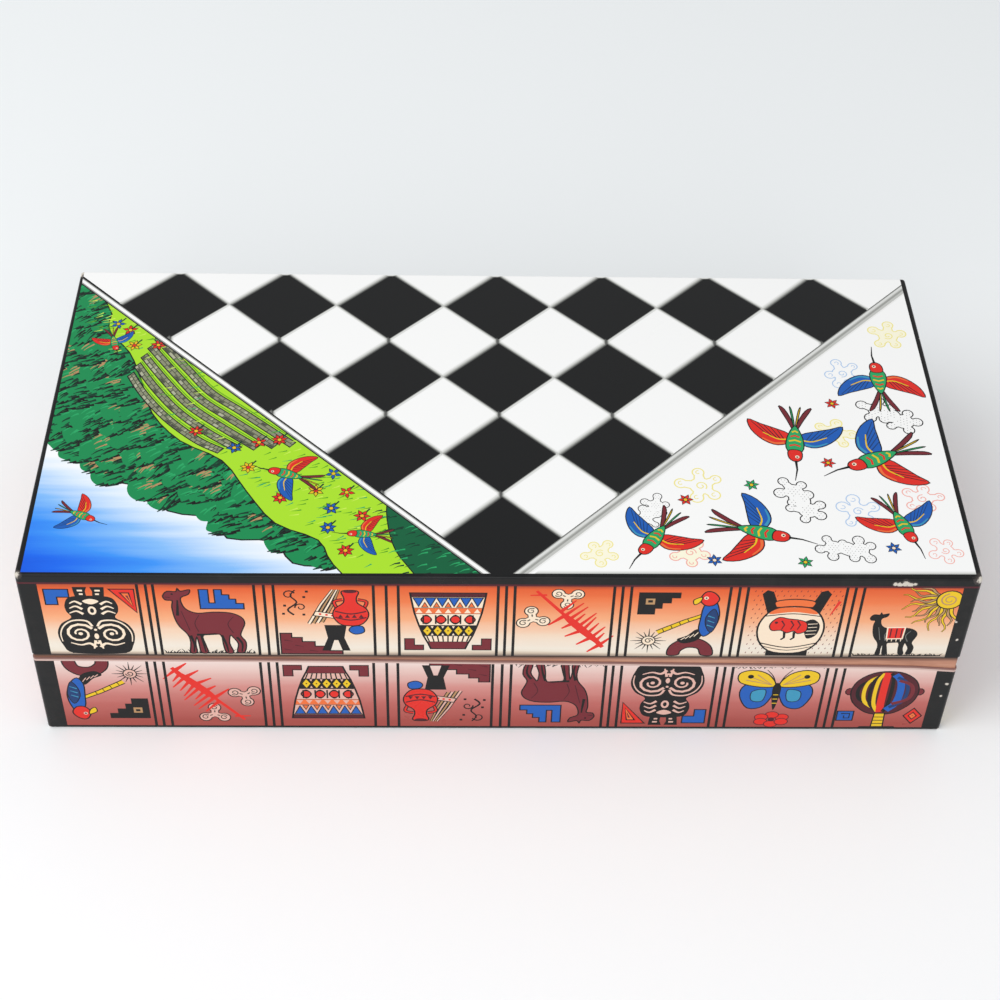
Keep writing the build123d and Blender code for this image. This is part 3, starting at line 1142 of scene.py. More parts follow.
        d.lined(Ink.BLUE, body, self.line)
        wing = smooth([(12.4, 24.6), (14.2, 19.0), (12.4, 12.4), (10.2, 15.4), (9.8, 20.4)])
        d.lined(Ink.NAVY, wing, 0.35)
        for y in (16.2, 18.6, 21.0):
            d.stroke(Ink.TURQUOISE, [(10.5, y), (13.0, y - 1.2)], 0.5, 0.25)
        head = smooth([(7.0, 29.4), (8.6, 33.2), (11.4, 33.0), (13.6, 29.8), (12.0, 26.6), (9.0, 26.4)])
        d.lined(Ink.RED, head, self.line)
        d.shape(Ink.YELLOW, [(7.6, 30.6), (4.8, 29.2), (5.2, 26.8), (7.0, 28.0)], 0.4)
        d.fill(Ink.CREAM, oval(9.0, 30.2, 0.8))
        d.fill(Ink.BLACK, oval(9.0, 30.2, 0.4, sides=8))
        return d

    def vessel(self) -> Drawing:
        """A round cream vessel with two black spouts and a red animal, on a dotted ground.

        Returns:
            The drawing.
        """
        d = Drawing()
        for row in range(15):
            for column in range(14):
                x, y = -14.6 + column * 2.25 + (row % 2) * 1.1, 1.6 + row * 2.3
                if (x * x) / 160 + (y - 16) ** 2 / 270 > 0.88:
                    d.fill(Ink.MAROON, ribbon([(x, y - 0.35), (x + 0.25, y + 0.45)], 0.34, 0.2))
        d.both(Ink.BLACK, [(4.0, 21.6), (8.2, 33.6), (10.4, 34.4), (12.0, 32.4), (8.6, 20.4)])
        d.fill(Ink.BLACK, box_outline(-7.4, 0, 7.4, 2.6))
        rim = smooth([(-6.4, 25.6), (-6.8, 28.6), (0, 29.8), (6.8, 28.6), (6.4, 25.6)], False)
        d.lined(Ink.ORANGE, rim, self.line)
        pot = smooth([(-6.2, 25.0), (-9.8, 21.2), (-11.7, 15.0), (-10.6, 8.0), (-6.6, 2.6), (0, 1.2),
                      (6.6, 2.6), (10.6, 8.0), (11.7, 15.0), (9.8, 21.2), (6.2, 25.0), (0, 26.0)], steps=3)
        d.lined(Ink.CREAM, pot, 0.7)
        d.fill(Ink.ORANGE, smooth([(-8.4, 22.0), (0, 23.2), (8.4, 22.0), (5.6, 25.0), (0, 25.6),
                                   (-5.6, 25.0)]))
        d.curve(Ink.BLACK, [(-9.6, 21.0), (0, 22.3), (9.6, 21.0)], 0.45)
        d.curve(Ink.BLACK, [(-10.4, 7.0), (0, 4.4), (10.4, 7.0)], 0.5)
        d.curve(Ink.BLACK, [(-9.4, 5.2), (0, 2.9), (9.4, 5.2)], 0.35)
        tail = smooth([(3.8, 17.0), (7.2, 19.4), (10.0, 16.4), (9.4, 11.2), (6.4, 9.2), (5.0, 12.4)])
        d.fill(Ink.BLACK, tail)
        for number in range(4):
            y = 11.4 + number * 1.8
            d.stroke(Ink.CREAM, [(5.6, y), (9.2, y + 0.3)], 0.4, 0.25)
        beast = smooth([(-6.9, 18.2), (-4.6, 20.4), (-1.2, 19.6), (2.6, 19.0), (5.4, 17.4), (5.6, 13.4),
                        (2.8, 11.8), (1.2, 13.2), (-1.2, 12.2), (-3.4, 13.6), (-6.4, 13.4), (-7.6, 15.6)],
                       steps=3)
        d.lined(Ink.RED, beast, 0.45)
        for x in (-3.0, 0.2, 2.6):
            d.stroke(Ink.WINE, [(x - 0.6, 18.6), (x + 0.6, 16.4), (x - 0.2, 14.0)], 0.6, 0.4)
        d.fill(Ink.WINE, oval(-5.4, 17.6, 0.6))
        for x in (-2.0, 1.4):
            d.stroke(Ink.BLACK, [(x, 12.8), (x + 0.2, 9.6), (x - 0.9, 8.6)], 1.0, 0.7)
        d.stroke(Ink.RED, [(15.4, 28.8), (12.8, 21.4)], 1.2, 0.3)
        return d

    def pack_llama(self) -> Drawing:
        """A small black llama with a red blanket under a sun with waving rays.

        Returns:
            The drawing.
        """
        d = Drawing()
        self.grass(d, -15.6, 15.6, 8, 1.6)
        sun_x, sun_y = 13.6, 29.8
        for number in range(16):
            turn = math.radians(146 + number * 9.5)
            line = []
            for step in range(9):
                reach = 3.2 + step * (1.7 if number % 2 else 1.3)
                sway = math.radians(4.5) * math.sin(step * 1.1 + number)
                line.append(polar(sun_x, sun_y, reach, turn + sway))
            d.stroke(Ink.BLACK, line, 2.0, 0.5)
            d.stroke(Ink.YELLOW if number % 2 else Ink.TAN, line, 1.3, 0.15)
        d.lined(Ink.YELLOW, oval(sun_x, sun_y, 4.6, sides=20), 0.5)
        d.stroke(Ink.TAN, spiral(sun_x, sun_y, 3.2, 0.8, 100, 1.7), 0.6, 0.4)
        d.add(self.standing_llama(), -3.2, 0.6, 0, 0.66,
              swap={Ink.MAROON: Ink.BLACK, Ink.WINE: Ink.TONE_DEEP})
        d.lined(Ink.RED, [(-5.6, 15.2), (0.6, 15.4), (0.4, 9.4), (-5.2, 9.2)], 0.5, Ink.CREAM)
        for x in (-4.2, -2.2, -0.4):
            d.stroke(Ink.WINE, [(x, 14.8), (x + 0.1, 9.9)], 0.5)
        for x in (-4.8, -3.2, -1.6, 0.0):
            d.stroke(Ink.CREAM, [(x, 9.4), (x, 7.9)], 0.45, 0.25)
        return d

    def striped_pot(self) -> Drawing:
        """A round pot in upright stripes on a yellow neck, with a blue coil and a red diamond.

        Returns:
            The drawing.
        """
        d = Drawing()
        half = [(0, 33.8), (5.6, 32.8), (10.6, 28.6), (12.4, 22.6), (11.0, 16.4), (6.6, 11.4), (2.6, 9.6)]
        pot = mirrored(half)[:-1]
        for side in (-1, 1):
            d.lined(Ink.MAROON, oval(side * 12.8, 22.4, 1.6, 1.9, 10), 0.4)
        d.shape(Ink.WINE, pot, self.line, 3)
        middle = 22.4
        stripes = (
            (Ink.BLACK, -9.9), (Ink.YELLOW, -7.6), (Ink.BLACK, -5.4), (Ink.YELLOW, -3.6), (Ink.RED, -0.6),
            (Ink.BLACK, 2.4), (Ink.BLUE, 5.6), (Ink.NAVY, 8.2), (Ink.MAROON, 10.2),
        )
        for ink, x in stripes:
            reach = math.sqrt(max(1 - (x / 12.6) ** 2, 0.05))
            width = 2.9 if ink in (Ink.RED, Ink.BLUE) else 1.5
            line = [(x * 0.34, middle - 12.0 * reach * 0.98), (x * 0.86, middle - 7.4 * reach), (x, middle),
                    (x * 0.86, middle + 7.0 * reach), (x * 0.42, middle + 10.9 * reach * 0.98)]
            d.curve(ink, line, width, width * 0.9)
        d.fill(Ink.BLACK, [(-8.2, 0.4), (8.2, 0.4), (6.4, 2.4), (-6.4, 2.4)])
        d.lined(Ink.YELLOW, [(-2.2, 2.2), (2.2, 2.2), (1.9, 10.0), (-1.9, 10.0)], self.line)
        for y in (4.0, 5.9, 7.8):
            d.stroke(Ink.BLACK, [(-1.9, y), (1.9, y)], 0.4)
        d.lined(Ink.BLUE, box_outline(-15.6, 5.8, -9.6, 11.2), self.line)
        d.stroke(Ink.BLACK, [(-14.2, 9.8), (-11.0, 9.8), (-11.0, 7.2), (-13.0, 7.2), (-13.0, 8.6)], 0.55)
        gem = [(12.4, 4.2), (15.8, 8.6), (12.4, 13.0), (9.0, 8.6)]
        d.lined(Ink.RED, gem, self.line)
        d.lined(Ink.ORANGE, grown(gem, -1.5), 0.4)
        d.fill(Ink.WINE, grown(gem, -2.5))
        return d

    def butterfly(self) -> Drawing:
        """A butterfly with yellow fore wings and blue hind wings over a red bloom.

        Returns:
            The drawing.
        """
        d = Drawing()
        for number in range(6):
            turn = math.radians(60 * number + 30)
            x, y = 4.4 * math.cos(turn), 5.6 + 2.6 * math.sin(turn)
            d.lined(Ink.RED, oval(x, y, 2.5, 1.9), 0.35, Ink.WINE)
        d.fill(Ink.WINE, oval(0, 5.6, 1.2))
        wings = (
            (Ink.BLUE, self.line, ((0.6, 24.0), (5.4, 26.6), (11.8, 25.2), (13.2, 19.4), (9.6, 12.2),
                                   (3.6, 13.8))),
            (Ink.TURQUOISE, 0.35, ((4.0, 22.6), (8.8, 21.6), (8.6, 16.6), (4.6, 16.4))),
            (Ink.YELLOW, self.line, ((0.6, 25.0), (3.8, 31.2), (9.6, 33.6), (14.4, 31.6), (13.6, 26.6),
                                     (6.2, 24.2))),
        )
        for side in (-1, 1):
            for ink, width, wing in wings:
                d.shape(ink, [(side * x, y) for x, y in wing], width)
            for share in (0.35, 0.6, 0.85):
                tip = (side * (5.0 + 8.0 * share), 33.2 - 6.0 * share)
                d.stroke(Ink.TAN, [(side * 2.0, 25.4), tip], 0.3, 0.5)
            d.fill(Ink.BLACK, oval(side * 10.2, 30.0, 1.1))
            d.curve(Ink.BLACK, [(side * 0.4, 24.6), (side * 2.0, 30.0), (side * 4.6, 33.8)], 0.5, 0.3)
        body = [(0, 26.6), (1.5, 24.0), (1.2, 17.0), (0, 11.0), (-1.2, 17.0), (-1.5, 24.0)]
        d.fill(Ink.BLACK, smooth(body))
        for y in (15.0, 17.4, 19.8):
            d.stroke(Ink.YELLOW, [(-0.9, y), (0.9, y)], 0.4)
        return d


@dataclass(frozen=True)
class TrayPlace:
    """Where a tray lies: the base faces down, and the lid is the same tray turned over."""

    tray: Tray
    half_width: float
    half_depth: float
    height: float

    def point(self, u: float, v: float, w: float) -> Vector:
        """Gives a place on or in the tray, seen from outside.

        Args:
            u: Distance to the right of the middle.
            v: Distance from the middle towards the fold.
            w: Height over the outer face, negative inside the tray.

        Returns:
            The place in the frame, in metres.
        """
        if self.tray is Tray.LID:
            return Vector((u, v, self.height + w)) * MM
        return Vector((-u, v, -w)) * MM

    def matrix(self) -> Matrix:
        """Gives the move from the base's place to this tray's place, in metres.

        Returns:
            The move.
        """
        if self.tray is Tray.BASE:
            return Matrix.Identity(4)
        turned = Matrix.Rotation(math.pi, 4, "Y")
        return Matrix.Translation((0, 0, self.height * MM)) @ turned


@dataclass
class MeshMaker:
    """Collects points, faces and their inks for one closed mesh."""

    points: list[Vector] = field(default_factory=list)
    faces: list[tuple[int, ...]] = field(default_factory=list)
    inks: list[Ink] = field(default_factory=list)
    welded: dict[tuple[int, ...], int] = field(default_factory=dict)
    weld_distance: float = 0.001

    def weld(self, point: Vector) -> int:
        """Adds a point, or finds the one that is already there, and gives its number.

        Args:
            point: The point.

        Returns:
            The point's number.
        """
        key = tuple(round(value / (self.weld_distance * MM)) for value in point)
        if key not in self.welded:
            self.welded[key] = len(self.points)
            self.points.append(point)
        return self.welded[key]

    def face(self, corners: Sequence[int], ink: Ink) -> None:
        """Adds a face, without its repeated corners, if at least a triangle is left.

        Args:
            corners: Its corners by number, in order.
            ink: Its ink.
        """
        kept = [corner for number, corner in enumerate(corners) if corner != corners[number - 1]]
        if len(set(kept)) > 2:
            self.faces.append(tuple(kept))
            self.inks.append(ink)

    def finish(self, name: str, book: InkBook) -> bpy.types.Object:
        """Makes the object and dresses each face in its ink.

        Args:
            name: The object's name.
            book: The inks' materials.

        Returns:
            The object.
        """
        mesh = bpy.data.meshes.new(name)
        mesh.from_pydata(self.points, [], self.faces)
        used = list(dict.fromkeys(self.inks))
        for ink in used:
            mesh.materials.append(book.material(ink))
        slots = {ink: number for number, ink in enumerate(used)}
        mesh.polygons.foreach_set("material_index", [slots[ink] for ink in self.inks])
        mesh.update()
        piece = bpy.data.objects.new(name, mesh)
        bpy.context.scene.collection.objects.link(piece)
        return piece


@dataclass
class InkSheet:
    """A printed sheet, cut along the edges of its inks and bent over the tray."""

    outline: list[Point]
    drawing: Drawing
    creases: list[tuple[Point, Point]]
    thickness: float = 0.5
    weld_distance: float = 1e-4
    least_area: float = 1e-9
    corners: np.ndarray = field(init=False)
    triangles: np.ndarray = field(init=False)
    owners: np.ndarray = field(init=False)

    def cut(self) -> None:
        """Cuts the sheet into triangles, each wholly in one area of ink."""
        lines = [(patch.outline, True) for patch in self.drawing.patches]
        lines += [(self.outline, True)] + [(crease, False) for crease in self.creases]
        points: list[Vector] = []
        edges: list[tuple[int, int]] = []
        for line, closed in lines:
            first, count = len(points), len(line)
            points.extend(Vector(point) for point in line)
            edges.extend((first + i, first + (i + 1) % count) for i in range(count - (not closed)))
        self._triangulate(points, edges)
        keep = self._ink_edges()
        points = [Vector(point) for point in self.corners]
        for crease in self.creases:
            edges_at = len(points)
            points.extend(Vector(point) for point in crease)
            keep.append((edges_at, edges_at + 1))
        used = sorted({number for edge in keep for number in edge})
        numbers = {old: new for new, old in enumerate(used)}
        self._triangulate([points[old] for old in used], [(numbers[a], numbers[b]) for a, b in keep])

    def _triangulate(self, points: list[Vector], edges: list[tuple[int, int]]) -> None:
        """Joins points and edges into triangles, and finds each one's uppermost patch.

        Args:
            points: The points.
            edges: Edges that the triangles keep, by the points' numbers.
        """
        corners, _, faces, _, _, _ = delaunay_2d_cdt(points, edges, [], 0, self.weld_distance)
        self.corners = np.array([tuple(corner) for corner in corners], float)
        triangles = np.array([tuple(face) for face in faces if len(face) == 3], int)
        a, b, c = (self.corners[triangles[:, place]] for place in range(3))
        area = (b[:, 0] - a[:, 0]) * (c[:, 1] - a[:, 1]) - (c[:, 0] - a[:, 0]) * (b[:, 1] - a[:, 1])
        triangles[area < 0] = triangles[area < 0][:, ::-1]
        middle = (a + b + c) / 3
        inside = self._covered(middle, self.outline) & (np.abs(area) > self.least_area)
        triangles, middle = triangles[inside], middle[inside]
        order = np.argsort(middle[:, 0])
        self.triangles, middle = triangles[order], middle[order]
        self.owners = np.full(len(order), -1)
        for number in range(len(self.drawing.patches) - 1, -1, -1):
            outline = np.array(self.drawing.patches[number].outline)
            low, high = outline.min(0), outline.max(0)
            first, last = np.searchsorted(middle[:, 0], (low[0], high[0]))
            level = middle[first:last, 1]
            open_ones = (self.owners[first:last] < 0) & (level >= low[1]) & (level <= high[1])
            near = first + np.flatnonzero(open_ones)
            if len(near):
                self.owners[near[self._covered(middle[near], outline)]] = number

    @staticmethod
    def _covered(places: np.ndarray, outline: Sequence[Point] | np.ndarray) -> np.ndarray:
        """Tells which places lie inside an outline, by how often it winds round them.

        Args:
            places: The places.
            outline: The outline.

        Returns:
            A true or false for each place.
        """
        start = np.asarray(outline, float)
        end = np.roll(start, -1, axis=0)
        x, y = places[:, :1], places[:, 1:]
        side = (end[:, 0] - start[:, 0]) * (y - start[:, 1]) - (x - start[:, 0]) * (end[:, 1] - start[:, 1])
        up = (start[:, 1] <= y) & (end[:, 1] > y) & (side > 0)
        down = (start[:, 1] > y) & (end[:, 1] <= y) & (side < 0)
        return up.sum(1) != down.sum(1)

    def _look(self, number: int) -> tuple[Ink, str]:
        """Gives a triangle's ink and plate."""
        patch = self.drawing.patches[self.owners[number]]
        return patch.ink, patch.plate

    def _ink_edges(self) -> list[tuple[int, int]]:
        """Gives the edges between unlike inks and along the sheet's outline.

        Returns:
            The edges, by the numbers of their ends.
        """
        sides: dict[tuple[int, int], tuple[Ink, str]] = {}
        for number, (a, b, c) in enumerate(self.triangles.tolist()):
            look = self._look(number)
            sides[a, b] = sides[b, c] = sides[c, a] = look
        return [(a, b) for (a, b), look in sides.items()
                if (b, a) not in sides or (sides[b, a] != look and a < b)]

    def plate(self, name: str, surface: Callable[[float, float, float], Vector]) -> MeshMaker:
        """Makes the closed flat body of one plate.

        Args:
            name: The plate.
            surface: Gives the place of a point of the sheet at a depth.

        Returns:
            Its points and faces.
        """
        chosen = [number for number in range(len(self.triangles)) if self._look(number)[1] == name]
        corners = self.triangles.tolist()
        at_edge: dict[tuple[int, int], int] = {}
        for number in chosen:
            a, b, c = corners[number]
            at_edge[a, b] = at_edge[b, c] = at_edge[c, a] = number
        part = dict.fromkeys(chosen, -1)
        for first in chosen:
            if part[first] >= 0:
                continue
            part[first] = first
            waiting = [first]
            while waiting:
                a, b, c = corners[waiting.pop()]
                for edge in ((b, a), (c, b), (a, c)):
                    other = at_edge.get(edge)
                    if other is not None and part[other] < 0:
                        part[other] = first
                        waiting.append(other)
        maker = MeshMaker()
        numbers: dict[tuple[int, int, bool], int] = {}

        def corner(owner: int, place: int, low: bool) -> int:
            """Gives a point's number, made when it is first asked for.

            Args:
                owner: First triangle of the part that it belongs to.
                place: Number of its corner.
                low: Whether it lies on the lower side.

            Returns:
                The number.
            """
            key = (owner, place, low)
            if key not in numbers:
                numbers[key] = len(maker.points)
                u, v = self.corners[place]
                maker.points.append(surface(u, v, -self.thickness if low else 0.0))
            return numbers[key]

        for number in chosen:
            a, b, c = corners[number]
            owner, ink = part[number], self._look(number)[0]
            maker.face([corner(owner, place, False) for place in (a, b, c)], ink)
            maker.face([corner(owner, place, True) for place in (c, b, a)], ink)
            for start, end in ((a, b), (b, c), (c, a)):
                if (end, start) not in at_edge:
                    maker.face([
                        corner(owner, start, True), corner(owner, end, True),
                        corner(owner, end, False), corner(owner, start, False),
                    ], ink)
        return maker


@dataclass
class CornerPictures:
    """Draws the two corner triangles upright: x along the board's side, y to the corner."""

    reach: float = 107.4
    line: float = 0.45

    def crown(self, radius: float, draw: random.Random) -> Drawing:
        """One brushed tree crown: black in its shade, with slanting light and dry strokes.

        Args:
            radius: Its size.
            draw: Source of its irregularity.

        Returns:
            The drawing.
        """
        d = Drawing()
        edge = []
        for number in range(12):
            turn = 2 * math.pi * number / 12
            far = radius * draw.uniform(0.9, 1.06)
            edge.append((far * 0.86 * math.cos(turn), far * math.sin(turn)))
        edge = smooth(edge, steps=3)
        d.fill(Ink.LEAF, edge)
        for number in range(9):
            turn = math.radians(115 + number * 17 + draw.uniform(-6, 6))
            x, y = radius * 0.84 * math.cos(turn), radius * 0.94 * math.sin(turn)
            d.stroke(Ink.BLACK if number % 3 else Ink.LEAF_DEEP,
                     [(x - 0.3, y - 1.5), (x, y), (x + 0.5, y + 1.6)], 1.3, 0.4)

        def dabs(ink: Ink, count: int, x: float, y: float, spread: float, width: float) -> None:
            """Brushes short slanting strokes round a place in the crown.

            Args:
                ink: Their ink.
                count: How many.
                x: The place, as a share of the radius.
                y: The place, as a share of the radius.
                spread: How far they lie from it.
                width: Width of a stroke.
            """
            for _ in range(count):
                at_x = (x + draw.uniform(-spread, spread)) * radius
                at_y = (y + draw.uniform(-spread, spread)) * radius
                long, lean = draw.uniform(1.1, 2.6), draw.uniform(-0.1, 0.5)
                if math.hypot(at_x, at_y) < radius * 0.8:
                    d.stroke(ink, [(at_x - lean, at_y - long), (at_x + 0.2, at_y),
                                   (at_x + lean, at_y + long)], width, 0.2)

        dabs(Ink.LEAF_DEEP, 9, -0.45, 0.1, 0.5, 1.0)
        dabs(Ink.BLACK, 4, -0.5, -0.1, 0.4, 0.9)
        dabs(Ink.LEAF_LIGHT, 7, 0.3, 0.1, 0.5, 0.9)
        if draw.random() < 0.55:
            dabs(Ink.TAN, 7, draw.uniform(0.0, 0.3), draw.uniform(-0.3, 0.3), 0.32, 0.75)
        return d

    def flower(self, ink: Ink, heart: Ink, petals: int = 6) -> Drawing:
        """A flower with pointed petals, about seven millimetres across.

        Args:
            ink: The petals' ink.
            heart: The heart's ink.
            petals: How many there are.

        Returns:
            The drawing.
        """
        d = Drawing()
        for number in range(petals):
            turn = 2 * math.pi * number / petals
            petal = [(0.0, 0.0)]
            for side, far in ((-0.42, 2.2), (0.0, 3.7), (0.42, 2.2)):
                petal.append(polar(0.0, 0.0, far, turn + side))
            d.lined(ink, petal, 0.3)
        d.lined(heart, oval(0, 0, 1.0, sides=10), 0.25)
        return d

    def bird(self) -> Drawing:
        """A long-billed bird with spread wings and banded feathers, about forty long.

        Returns:
            The drawing.
        """
        d = Drawing()
        for side, inks in ((1, (Ink.BLUE, Ink.NAVY, Ink.TURQUOISE)), (-1, (Ink.RED, Ink.WINE, Ink.ORANGE))):
            wing = ((-1.5, 1.5), (1.0, 6.5), (-1.0, 12.0), (-6.5, 17.0), (-12.5, 18.5), (-10.5, 13.5),
                    (-8.5, 8.0), (-6.0, 2.5))
            d.shape(inks[0], [(x, side * y) for x, y in wing], self.line, 3)
            for number in range(5):
                share = number / 4
                root = (-2.2 - 1.4 * share, side * (4.0 + 6.0 * share))
                tip = (-8.0 - 3.6 * share, side * (7.0 + 10.2 * share))
                d.stroke(inks[1], [root, tip], 0.5, 0.3)
            d.curve(inks[2], [(-0.6, side * 4.0), (0.0, side * 8.0), (-2.4, side * 12.6)], 1.2, 0.5)
            d.curve(Ink.YELLOW, [(-2.6, side * 3.4), (-2.6, side * 7.0), (-5.6, side * 12.4)], 0.8, 0.4)
        for spread, ink in ((-6.5, Ink.MAROON), (-2.2, Ink.LEAF_LIGHT), (2.2, Ink.YELLOW),
                            (6.5, Ink.MAROON)):
            feather = [(-8.0, spread * 0.1), (-14.0, spread * 0.5), (-21.5, spread), (-20.0, spread * 0.62),
                       (-13.0, spread * 0.16)]
            d.shape(ink, feather, 0.4, 3)
        body = smooth([(5.5, 1.2), (2.0, 3.4), (-4.0, 3.0), (-10.0, 0.8), (-10.0, -0.8), (-4.0, -3.0),
                       (2.0, -3.4), (5.5, -1.2)], steps=3)
        d.lined(Ink.LEAF_LIGHT, body, self.line)
        for x in (-7.0, -4.4, -1.8, 0.8):
            half = 2.5 - abs(x + 1.0) * 0.22
            d.stroke(Ink.YELLOW if x in (-7.0, -1.8) else Ink.RED, [(x, -half), (x - 0.8, 0), (x, half)],
                     0.8)
        d.shape(Ink.RED, [(3.8, 2.6), (7.8, 2.6), (9.6, 0.4), (7.8, -2.2), (3.8, -2.6), (2.8, 0)],
                self.line, 3)
        d.stroke(Ink.BLACK, [(9.0, 0.4), (14.0, 0.9), (20.0, 0.2)], 1.1, 0.3)
        d.fill(Ink.CREAM, oval(6.8, 0.9, 0.85, sides=10))
        d.fill(Ink.BLACK, oval(6.9, 0.9, 0.42, sides=8))
        return d

    def bloom(self, line: Ink, fill: Ink, seed: int, dotted: bool) -> Drawing:
        """A loose round-lobed bloom in outline, plain or dotted, about eighteen across.

        Args:
            line: Ink of the outline.
            fill: Ink inside it.
            seed: Seed of its irregularity.
            dotted: Whether it is filled with dots, as a pair of blooms that run together.

        Returns:
            The drawing.
        """
        d = Drawing()
        draw = random.Random(seed)
        lobes = []
        for middle in ((-5.2, 5.2) if dotted else (0.0,)):
            for number in range(5):
                turn = 2 * math.pi * (number + draw.uniform(-0.12, 0.12)) / 5 + middle
                far = draw.uniform(4.6, 6.4)
                lobes.append((middle, *polar(0.0, 0.0, far, turn), draw.uniform(1.7, 2.4)))
        for grow, ink in ((0.22, line), (-0.22, fill)):
            for middle, x, y, radius in lobes:
                d.fill(ink, oval(middle + x, y, radius + grow, sides=14))
                d.fill(ink, ribbon([(middle, 0), (middle + x, y)], 4.4 + 2 * grow, radius * 1.3 + 2 * grow))
            for middle in {lobe[0] for lobe in lobes}:
                d.fill(ink, oval(middle, 0, 3.7 + grow))
            if dotted:
                d.fill(ink, oval(0, 0, 3.6 + grow))
                d.fill(ink, ribbon([(-5.2, 0), (5.2, 0)], 3.6 + 2 * grow))
        if dotted:
            for row in range(-6, 7):
                for column in range(-9, 10):
                    x, y = column * 1.3 + (row % 2) * 0.65, row * 1.15
                    if any(
                        math.hypot(x - middle - px, y - py) < radius - 0.3 or math.hypot(x - middle, y) < 2.4
                        for middle, px, py, radius in lobes
                    ):
                        d.fill(line, oval(x, y, 0.19, sides=4))
        else:
            d.stroke(line, spiral(0, 0, 2.0, 0.5, 0, 1.3), 0.4)
            for _, x, y, radius in lobes:
                d.stroke(line, spiral(x, y, radius * 0.5, radius * 0.2, seed * 40, 0.7), 0.32)
        return d

    def landscape(self) -> Drawing:
        """Field terraces and meadows below a wooded ridge and a blue sky.

        Returns:
            The drawing.
        """
        d = Drawing()
        draw = random.Random(11)
        reach = self.reach
        d.fill(Ink.SKY, [(-reach - 8, -4), (reach + 8, -4), (0, reach + 8)])
        ridge = smooth([
            (118, -6), (104, 6), (70, 40), (52, 60), (44, 55), (34, 62), (22, 53), (10, 57), (0, 49),
            (-12, 54), (-26, 45), (-36, 48), (-48, 38), (-60, 40), (-70, 32), (-76, 26), (-60, 16),
            (-20, 12), (60, 4),
        ], steps=3)
        d.fill(Ink.BLACK, grown(ridge, 0.6))
        d.fill(Ink.LEAF, ridge)
        rows = ((56, 6, 56), (49, -16, 62), (42, -42, 70), (34, -66, 80), (26, -74, 88), (17, -60, 98),
                (8, 60, 106), (0, 76, 110))
        for level, start, end in rows:
            x = float(start)
            while x < end:
                radius = draw.uniform(6.2, 9.4)
                y = level + draw.uniform(-2.5, 2.5) - (4 if x < -50 else 0)
                if y < 38 + (x + 60) * 0.24:
                    d.add(self.crown(radius, draw), x, y, draw.uniform(-18, 18))
                x += radius * draw.uniform(1.0, 1.35)
        meadow = smooth([
            (88, -8), (84, 3), (76, 10), (62, 12), (46, 19), (30, 27), (12, 29), (-6, 25), (-24, 29),
            (-42, 32), (-58, 27), (-70, 31), (-88, 30), (-120, 10), (-120, -8),
        ], steps=3)
        d.fill(Ink.BLACK, grown(meadow, 0.5))
        d.fill(Ink.LIME, meadow)
        self._terraces(d, draw)
        self._grass(d, draw)
        lawn = smooth([(-120, -8), (-120, 22), (-92, 15), (-80, 12), (-70, 6), (-62, -1), (-58, -8)],
                      steps=3)
        d.fill(Ink.BLACK, grown(lawn, 0.4))
        d.fill(Ink.GRASS, lawn)
        for _ in range(90):
            x, y = draw.uniform(-106, -60), draw.uniform(-2, 19)
            ink = draw.choice((Ink.LEAF_DEEP, Ink.LEAF_LIGHT, Ink.LEAF_DEEP))
            if y < -(x + 58) * 0.55 + 2:
                d.stroke(ink, [(x, y), (x + 1.0, y + 1.6), (x + 1.4, y + 3.4)], 0.7, 0.1)
        places = (
            (-48, 5, Ink.RED), (-40, 12, Ink.YELLOW), (-12, 4, Ink.RED), (-4, 18, Ink.BLUE),
            (12, 22, Ink.RED), (-56, 21, Ink.BLUE), (72, 4, Ink.RED), (64, 8.5, Ink.YELLOW),
            (-34, 23, Ink.RED), (78, 5, Ink.BLUE), (-50, 14, Ink.BLUE), (-15, 21, Ink.YELLOW),
            (-38, 2, Ink.BLUE), (-60, 9, Ink.RED), (-68, 24, Ink.RED), (-8, 10, Ink.RED), (58, 2, Ink.RED),
        )
        for number, (x, y, ink) in enumerate(places):
            heart = Ink.RED if ink is Ink.YELLOW else Ink.YELLOW
            d.stroke(Ink.LEAF_DEEP, [(x, y), (x + 0.6, y - 4.2)], 0.6)
            d.add(self.flower(ink, heart, 5 + number % 3), x, y, number * 17, 0.78)
        for x, y, turn, size, flipped in (
            (-26, 14, 25, 0.62, False), (70, 13, 150, 0.42, False), (-66, 15, 40, 0.5, False),
            (6, 76, 20, 0.48, True),
        ):
            d.add(self.bird(), x, y, turn, size, flipped)
        return d

